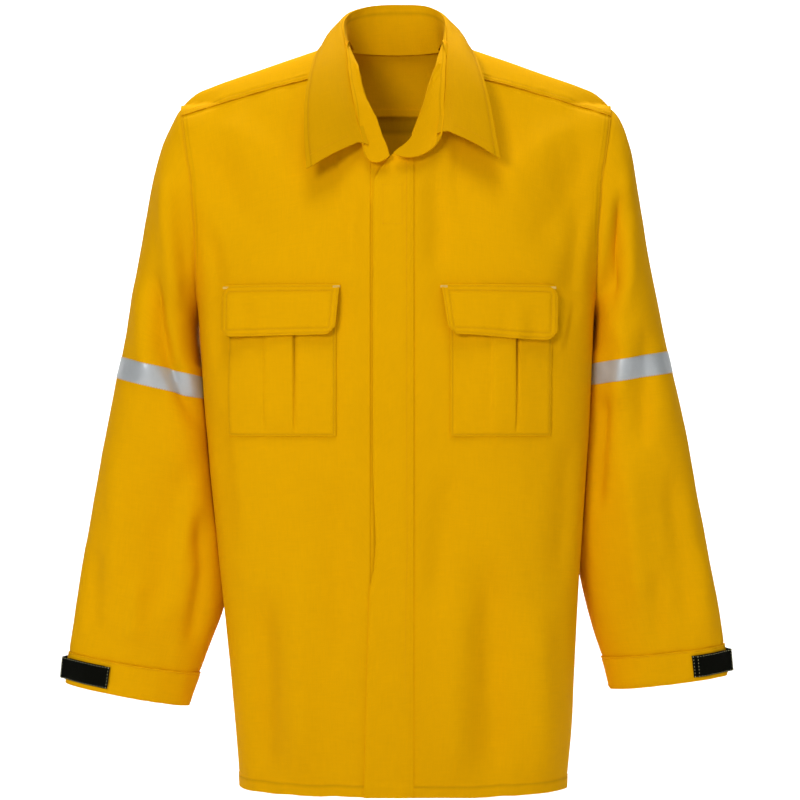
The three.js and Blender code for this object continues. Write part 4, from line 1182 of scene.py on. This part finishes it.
SLEEVE_CREASES = {
    -1: [
        ([(-246, -87), (-231, -142)], 9, -4.5, 0.3),
        ([(-264, -130), (-262, -200), (-251, -305)], 13, 5.0, 0.0),
        ([(-282, -235), (-271, -314), (-259, -354), (-242, -390), (-216, -450)], 12, -7.5, 0.2),
        ([(-300, -250), (-292, -330), (-284, -400)], 16, 3.5, 0.0),
        ([(-240, -460), (-262, -560), (-276, -660)], 20, -4.0, 0.2),
        ([(-330, -430), (-322, -540), (-330, -640)], 18, 3.0, 0.0),
        ([(-226, -520), (-222, -600), (-240, -700)], 12, -5.0, 0.0),
        ([(-300, -600), (-304, -690)], 14, 3.0, 0.0),
        ([(-350, -560), (-352, -680)], 13, -3.0, 0.0),
    ],
    1: [
        ([(264, -150), (257, -200), (248, -245), (236, -300)], 15, -8.5, -0.2),
        ([(262, -120), (270, -190), (266, -260), (254, -330)], 12, 3.0, 0.0),
        ([(250, -300), (262, -345), (252, -420)], 14, 4.0, 0.0),
        ([(290, -300), (288, -380), (280, -470)], 16, -3.5, 0.0),
        ([(238, -380), (236, -450), (230, -540)], 12, -5.0, 0.2),
        ([(262, -450), (276, -560), (286, -660)], 18, 3.5, 0.0),
        ([(318, -470), (330, -580), (338, -680)], 16, -3.0, 0.0),
        ([(352, -560), (362, -680)], 14, 3.0, 0.0),
        ([(300, -590), (306, -690)], 13, -2.5, 0.0),
    ],
}


def sleeve_rings(sign):
    """Rings down the whole sleeve, and how far down its middle each one lies."""
    stations = np.array(SLEEVES[sign], float)
    middles = np.stack(
        [(stations[:, 0] + stations[:, 2]) / 2, stations[:, 5], (stations[:, 1] + stations[:, 3]) / 2],
        axis=1
    )
    at = np.concatenate([[0], np.cumsum(np.linalg.norm(np.diff(middles, axis=0), axis=1))])
    marks = [at[k] for k in (*TAPE_STATIONS, CUFF_STATION)]
    places = set(np.arange(0, at[-1], 4.2)) | {at[-1]} | set(EDGE[1:])
    for mark in marks:
        places = {p for p in places if abs(p - mark) > 2.4} | {
            mark - 1.6, mark - 0.6, mark, mark + 0.6, mark + 1.6
        }
    where = np.array(sorted(places))
    values = curve_through(stations, at, where)
    turn = np.linspace(0, 2 * math.pi, SLEEVE_SIDES, endpoint=False)[None, :]
    power = 2 / 2.25
    out_share = np.sign(np.cos(turn)) * np.abs(np.cos(turn)) ** power
    deep_share = np.sign(np.sin(turn)) * np.abs(np.sin(turn)) ** power
    outer_x, outer_z, inner_x, inner_z, half, middle_y = (values[:, [i]] for i in range(6))
    x = (outer_x + inner_x) / 2 + out_share * (outer_x - inner_x) / 2
    z = (outer_z + inner_z) / 2 + out_share * (outer_z - inner_z) / 2
    y = middle_y + deep_share * half
    hole_z = lerp(ARMPIT_Z, SHOULDER_POINT[1], (1 + out_share[0]) / 2)
    hole = np.array([armhole_point(h, 1 if d > 0 else -1) for h, d in zip(hole_z, deep_share[0])])
    near = smooth(1 - where / 55)[:, None]
    x = x + near * (hole[:, 0] - x[0])[None, :]
    y = y + near * (hole[:, 1] - y[0])[None, :]
    x = x - (1 - smooth(where / 7))[:, None] * 1.4
    return np.stack([sign * x, y, z], axis=-1), where, at


def shape_sleeve(sign, grid, where):
    middle = grid.mean(axis=1, keepdims=True)
    normals = unit(
        np.cross(np.roll(grid, -1, axis=1) - np.roll(grid, 1, axis=1), np.gradient(grid, axis=0))
    )
    normals *= np.sign(np.sum(normals * (grid - middle)))
    x, y, z = grid[..., 0], grid[..., 1], grid[..., 2]
    front = smooth((middle[..., 1] - y) / 25)
    height = (
        2.6 * soft_noise(x / 46 + y / 60, z / 105, 101 + sign)
        + 1.1 * soft_noise(x / 20 + y / 22, z / 46, 103 + sign)
    )
    height = height + 0.45 * soft_noise(x / 9 + z / 30, z / 14, 105 + sign)
    for path, width, amount, steep in SLEEVE_CREASES[sign]:
        height = height + 1.9 * crease(x, z, path, width * 0.85, amount, steep) * front
        height = height + crease(x, z - 12, path, width * 1.2, -0.7 * amount, steep) * (1 - front)
    height = height * smooth(where / 30)[:, None] * lerp(0.22, 1, np.abs(normals[..., 1]))
    return clear_of_body(grid + normals * height[..., None], sign)


def clear_of_body(grid, sign):
    """Keeps the inner side of a sleeve against the outside of the body."""
    x, y, z = grid[..., 0], grid[..., 1], grid[..., 2]
    depth = np.where(y < BODY_CENTRE_Y, FRONT_DEPTH, BACK_DEPTH) * DEPTH_SCALE(z)
    share = np.clip(np.abs(y - BODY_CENTRE_Y) / depth, 0, 1)
    side_x = HALF_WIDTH[sign](z) * (1 - share**SQUARENESS) ** (1 / SQUARENESS) + 0.8
    pushed = np.maximum(np.abs(x), side_x)
    x = sign * lerp(np.abs(x), pushed, smooth((ARMPIT_Z - 8 - z) / 40))
    return np.stack([x, y, z], axis=-1)


def tube_piece(name, grid, where, low, high, thickness, material, relief):
    """A length of sleeve between two places, laid off the sleeve's surface by its own relief."""
    keep = (where >= low - 1e-6) & (where <= high + 1e-6)
    part = grid[keep]
    centre = part.mean(axis=(0, 1))
    normals = grid_normals(part, centre, True)
    out = relief(where[keep][:, None] - low, high - where[keep][:, None], part)
    part = part + normals * np.broadcast_to(out, part.shape[:2])[..., None]
    return cloth_mesh(name, part, thickness, centre, material, wraps=True), part, where[keep]


def round_the_ring(grid, row, lift=0.25):
    ring = grid[row]
    normals = unit(ring - ring.mean(axis=0))
    ring = ring + normals * lift
    return np.vstack([ring, ring[:1]])


def make_sleeve(sign, word):
    grid, where, at = sleeve_rings(sign)
    grid = shape_sleeve(sign, grid, where)
    tape_top, tape_bottom = at[TAPE_STATIONS[0]], at[TAPE_STATIONS[1]]
    join, cuff_top = (tape_top + tape_bottom) / 2, at[CUFF_STATION]
    places = np.array(sorted(set(where) | {join}))
    grid, where = resampled(grid, where, places), places

    def upper_relief(from_top, _, part):
        rucks = 0.5 * soft_noise(part[..., 2] / 8, from_top / 12, 111)
        return -0.8 * bell(from_top, 0, 3) + rucks * bell(from_top, 0, 9)

    upper, _, upper_at = tube_piece(
        f"{word} upper sleeve cloth", grid, where, 0, join, CLOTH, YELLOW, upper_relief
    )
    shares = np.tile(np.repeat(smooth((upper_at - 2) / 95), SLEEVE_SIDES), 2)
    custom_blend(upper, shares)
    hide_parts(f"{word}_sleeve_upper")

    def lower_relief(from_top, to_end, part):
        rucks = 0.5 * soft_noise(part[..., 0] / 8 + part[..., 1] / 9, 0.5, 112)
        return -1.1 * bell(to_end, 0, 4.0) + rucks * bell(to_end, 0, 10)

    lower, _, lower_at = tube_piece(
        f"{word} lower sleeve cloth", grid, where, join, cuff_top, CLOTH, YELLOW, lower_relief
    )
    shares = np.tile(np.repeat(smooth((lower_at - join - 55) / 85), SLEEVE_SIDES), 2)
    custom_blend(lower, shares)
    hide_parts(f"{word}_sleeve_lower")

    def cuff_relief(from_top, to_end, part):
        rucks = 0.6 * soft_noise(part[..., 0] / 9 + part[..., 1] / 8, from_top / 20, 113)
        return 0.9 + rucks - 0.8 * bell(to_end, 0, 1.2) - 0.6 * bell(from_top, 2, 0.9)

    cuff, cuff_grid, _ = tube_piece(
        f"{word} cuff cloth", grid, where, cuff_top - 1.6, at[-1], CLOTH + 0.6, YELLOW, cuff_relief
    )
    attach(cuff, f"{word}_forearm")
    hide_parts(f"{word}_cuff")
    cuff_sewing = sew(
        f"{word} cuff stitches",
        [round_the_ring(cuff_grid, 2), round_the_ring(cuff_grid, len(cuff_grid) - 2)]
    )
    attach(cuff_sewing, f"{word}_forearm")

    def tape_relief(from_top, to_end, part):
        edge = np.minimum(from_top, to_end)
        crinkles = 0.25 * soft_noise(part[..., 0] / 9 + part[..., 1] / 9, from_top / 9, 114)
        return 0.7 - 0.35 * bell(edge, 0, 0.7) + crinkles

    tape, tape_grid, _ = tube_piece(
        f"{word} sleeve tape", grid, where, tape_top, tape_bottom, 0.5, SILVER_TAPE, tape_relief
    )
    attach(tape, f"{word}_sleeve")
    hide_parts(f"{word}_reflective_tape")
    sewing = sew(
        f"{word} tape stitches",
        [round_the_ring(tape_grid, 1, 0.15), round_the_ring(tape_grid, len(tape_grid) - 2, 0.15)]
    )
    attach(sewing, f"{word}_sleeve")
    return grid, where, at


def make_cuff_band(name, grid, where, at, from_turn, to_turn, lift, node_name, body):
    """A strap round part of the cuff, between two turns in degrees from the sleeve's outer edge."""
    cuff = grid[where >= at[CUFF_STATION] - 1e-6]
    cuff_at = where[where >= at[CUFF_STATION] - 1e-6] - at[CUFF_STATION]
    strap_at = spaced(26, 2.0, start=(0, 0.5, 1.2), end=(0, 0.5, 1.2)) * 26 + 4.5
    swept = to_turn - from_turn
    turns = from_turn + swept * spaced(abs(swept), 3, start=(0, 0.6, 1.4), end=(0, 0.6, 1.4))
    column = (turns % 360) / 360 * SLEEVE_SIDES
    low, share = np.floor(column).astype(int) % SLEEVE_SIDES, (column - np.floor(column))[None, :, None]
    around = lerp(cuff[:, low], cuff[:, (low + 1) % SLEEVE_SIDES], share)
    strap = resampled(around, cuff_at, strap_at)
    middle = cuff.mean(axis=(0, 1))
    normals = grid_normals(strap, middle)
    rows, columns = np.meshgrid(np.arange(len(strap_at)), np.arange(len(turns)), indexing="ij")
    edge = np.minimum(
        np.minimum(rows, len(strap_at) - 1 - rows), np.minimum(columns, len(turns) - 1 - columns)
    )
    knuckle = 4.0 * bell(turns, TAB_FOLD, 7)
    out = lift + knuckle - 0.5 * (edge == 0) - 0.15 * (edge == 1)
    strap = strap + normals * np.asarray(out, float)[..., None]
    piece = cloth_mesh(name, strap, 1.3, middle, BLACK_PILE)
    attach(piece, body)
    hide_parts(node_name)
    shown = grid_normals(strap, middle)
    inset = 2
    lines = [
        grid_line(strap, shown, row=r, lift=0.15)[inset:-inset]
        for r in (inset, len(strap_at) - 1 - inset)
    ]
    lines += [
        grid_line(strap, shown, column=c, lift=0.15)[inset:-inset]
        for c in (inset, len(turns) - 1 - inset)
    ]
    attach(sew(name + " stitches", lines, thread=TAB_THREAD, pitch=3.4, length=2.0, radius=0.34), body)


for side_sign, side_word in SIDES:
    sleeve_grid, sleeve_at, station_at = make_sleeve(side_sign, side_word)
    tab_end = -76 if side_sign < 0 else -66
    bands = (
        ("cuff loop pad", -70, -22, 2.4, "cuff_loop_pad", "forearm"),
        ("cuff tab", tab_end, -11.5, 4.3, "cuff_tab", "tab"),
        ("cuff tab base", -10.5, 66, 4.3, "cuff_tab_base", "forearm"),
    )
    for label, first, last, lift, node_name, body in bands:
        make_cuff_band(
            f"{side_word} {label}", sleeve_grid, sleeve_at, station_at, first, last, lift,
            f"{side_word}_{node_name}", f"{side_word}_{body}"
        )


# ---- studio -------------------------------------------------------------------------------
def make_backdrop():
    """A pale floor that sweeps up behind the coat in one curve, and can't be seen from behind."""
    floor_z = HEM_Z * MM - 0.12
    half_width, front_y, bend_y, top_z, radius = 7.0, -7.0, 1.2, 6.0, 1.6
    profile = [(front_y, floor_z), (bend_y, floor_z)]
    for step in range(1, 25):
        angle = step / 24 * math.pi / 2
        profile.append((bend_y + radius * math.sin(angle), floor_z + radius * (1 - math.cos(angle))))
    profile.append((bend_y + radius, top_z))
    verts = [(x, y, z) for y, z in profile for x in (-half_width, half_width)]
    faces = [(2 * k, 2 * k + 1, 2 * k + 3, 2 * k + 2) for k in range(len(profile) - 1)]
    mesh = bpy.data.meshes.new("studio floor")
    mesh.from_pydata(verts, [], faces)
    mesh.polygons.foreach_set("use_smooth", np.ones(len(faces), bool))
    paint = bpy.data.materials.new("pale studio floor")
    paint.use_nodes = True
    tree = paint.node_tree
    shader = tree.nodes["Principled BSDF"]
    shader.inputs["Base Color"].default_value = (0.93, 0.93, 0.93, 1)
    shader.inputs["Roughness"].default_value = 0.9
    see_through = node(tree, "ShaderNodeBsdfTransparent")
    seen_side = node(tree, "ShaderNodeNewGeometry")
    one_sided = node(tree, "ShaderNodeMixShader")
    tree.links.new(seen_side.outputs["Backfacing"], one_sided.inputs["Fac"])
    tree.links.new(shader.outputs[0], one_sided.inputs[1])
    tree.links.new(see_through.outputs[0], one_sided.inputs[2])
    tree.links.new(one_sided.outputs[0], tree.nodes["Material Output"].inputs["Surface"])
    mesh.materials.append(paint)
    floor = bpy.data.objects.new("studio_floor", mesh)
    bpy.context.scene.collection.objects.link(floor)


def soft_light(name, place, aim, size, power, colour=(1, 1, 1)):
    data = bpy.data.lights.new(name, "AREA")
    data.shape, data.size, data.energy, data.color = "DISK", size, power, colour
    lamp = bpy.data.objects.new(name, data)
    lamp.location = place
    lamp.rotation_euler = (Vector(aim) - Vector(place)).to_track_quat("-Z", "Y").to_euler()
    bpy.context.scene.collection.objects.link(lamp)


def make_camera():
    distance, middle_z, half_frame = 2.8, -0.400, 0.468
    data = bpy.data.cameras.new("camera")
    data.sensor_fit = "HORIZONTAL"
    data.angle = 2 * math.atan(half_frame / distance)
    data.clip_end = 50
    camera = bpy.data.objects.new("camera", data)
    camera.location = (0.0047, -distance, middle_z)
    camera.rotation_euler = (math.pi / 2, 0, 0)
    bpy.context.scene.collection.objects.link(camera)
    bpy.context.scene.camera = camera


SKY_LIGHT = 0.12
SKY_SEEN = 0.8  # how much brighter the sky looks straight from the camera
make_backdrop()
make_camera()
soft_light("overhead softbox", (-0.1, -1.1, 1.9), (0, 0, -0.3), 1.1, 26, (0.93, 1.0, 0.85))
soft_light("front softbox", (-1.2, -3.0, 0.6), (0, 0, -0.5), 1.0, 41)
soft_light("right fill", (1.9, -2.6, 0.1), (0, 0, -0.5), 1.3, 8)
soft_light("backdrop light", (0, 1.0, 1.9), (0, 2.8, -0.4), 1.5, 120)
world = bpy.data.worlds.new("studio air")
bpy.context.scene.world = world
world.use_nodes = True
background = world.node_tree.nodes["Background"]
background.inputs["Color"].default_value = (1, 1, 1, 1)
ray = node(world.node_tree, "ShaderNodeLightPath")
brightness = math_node(world.node_tree, "MULTIPLY_ADD", ray.outputs["Is Camera Ray"], SKY_SEEN)
brightness.node.inputs[2].default_value = SKY_LIGHT
world.node_tree.links.new(brightness, background.inputs["Strength"])
bpy.context.scene.view_settings.view_transform = "Standard"
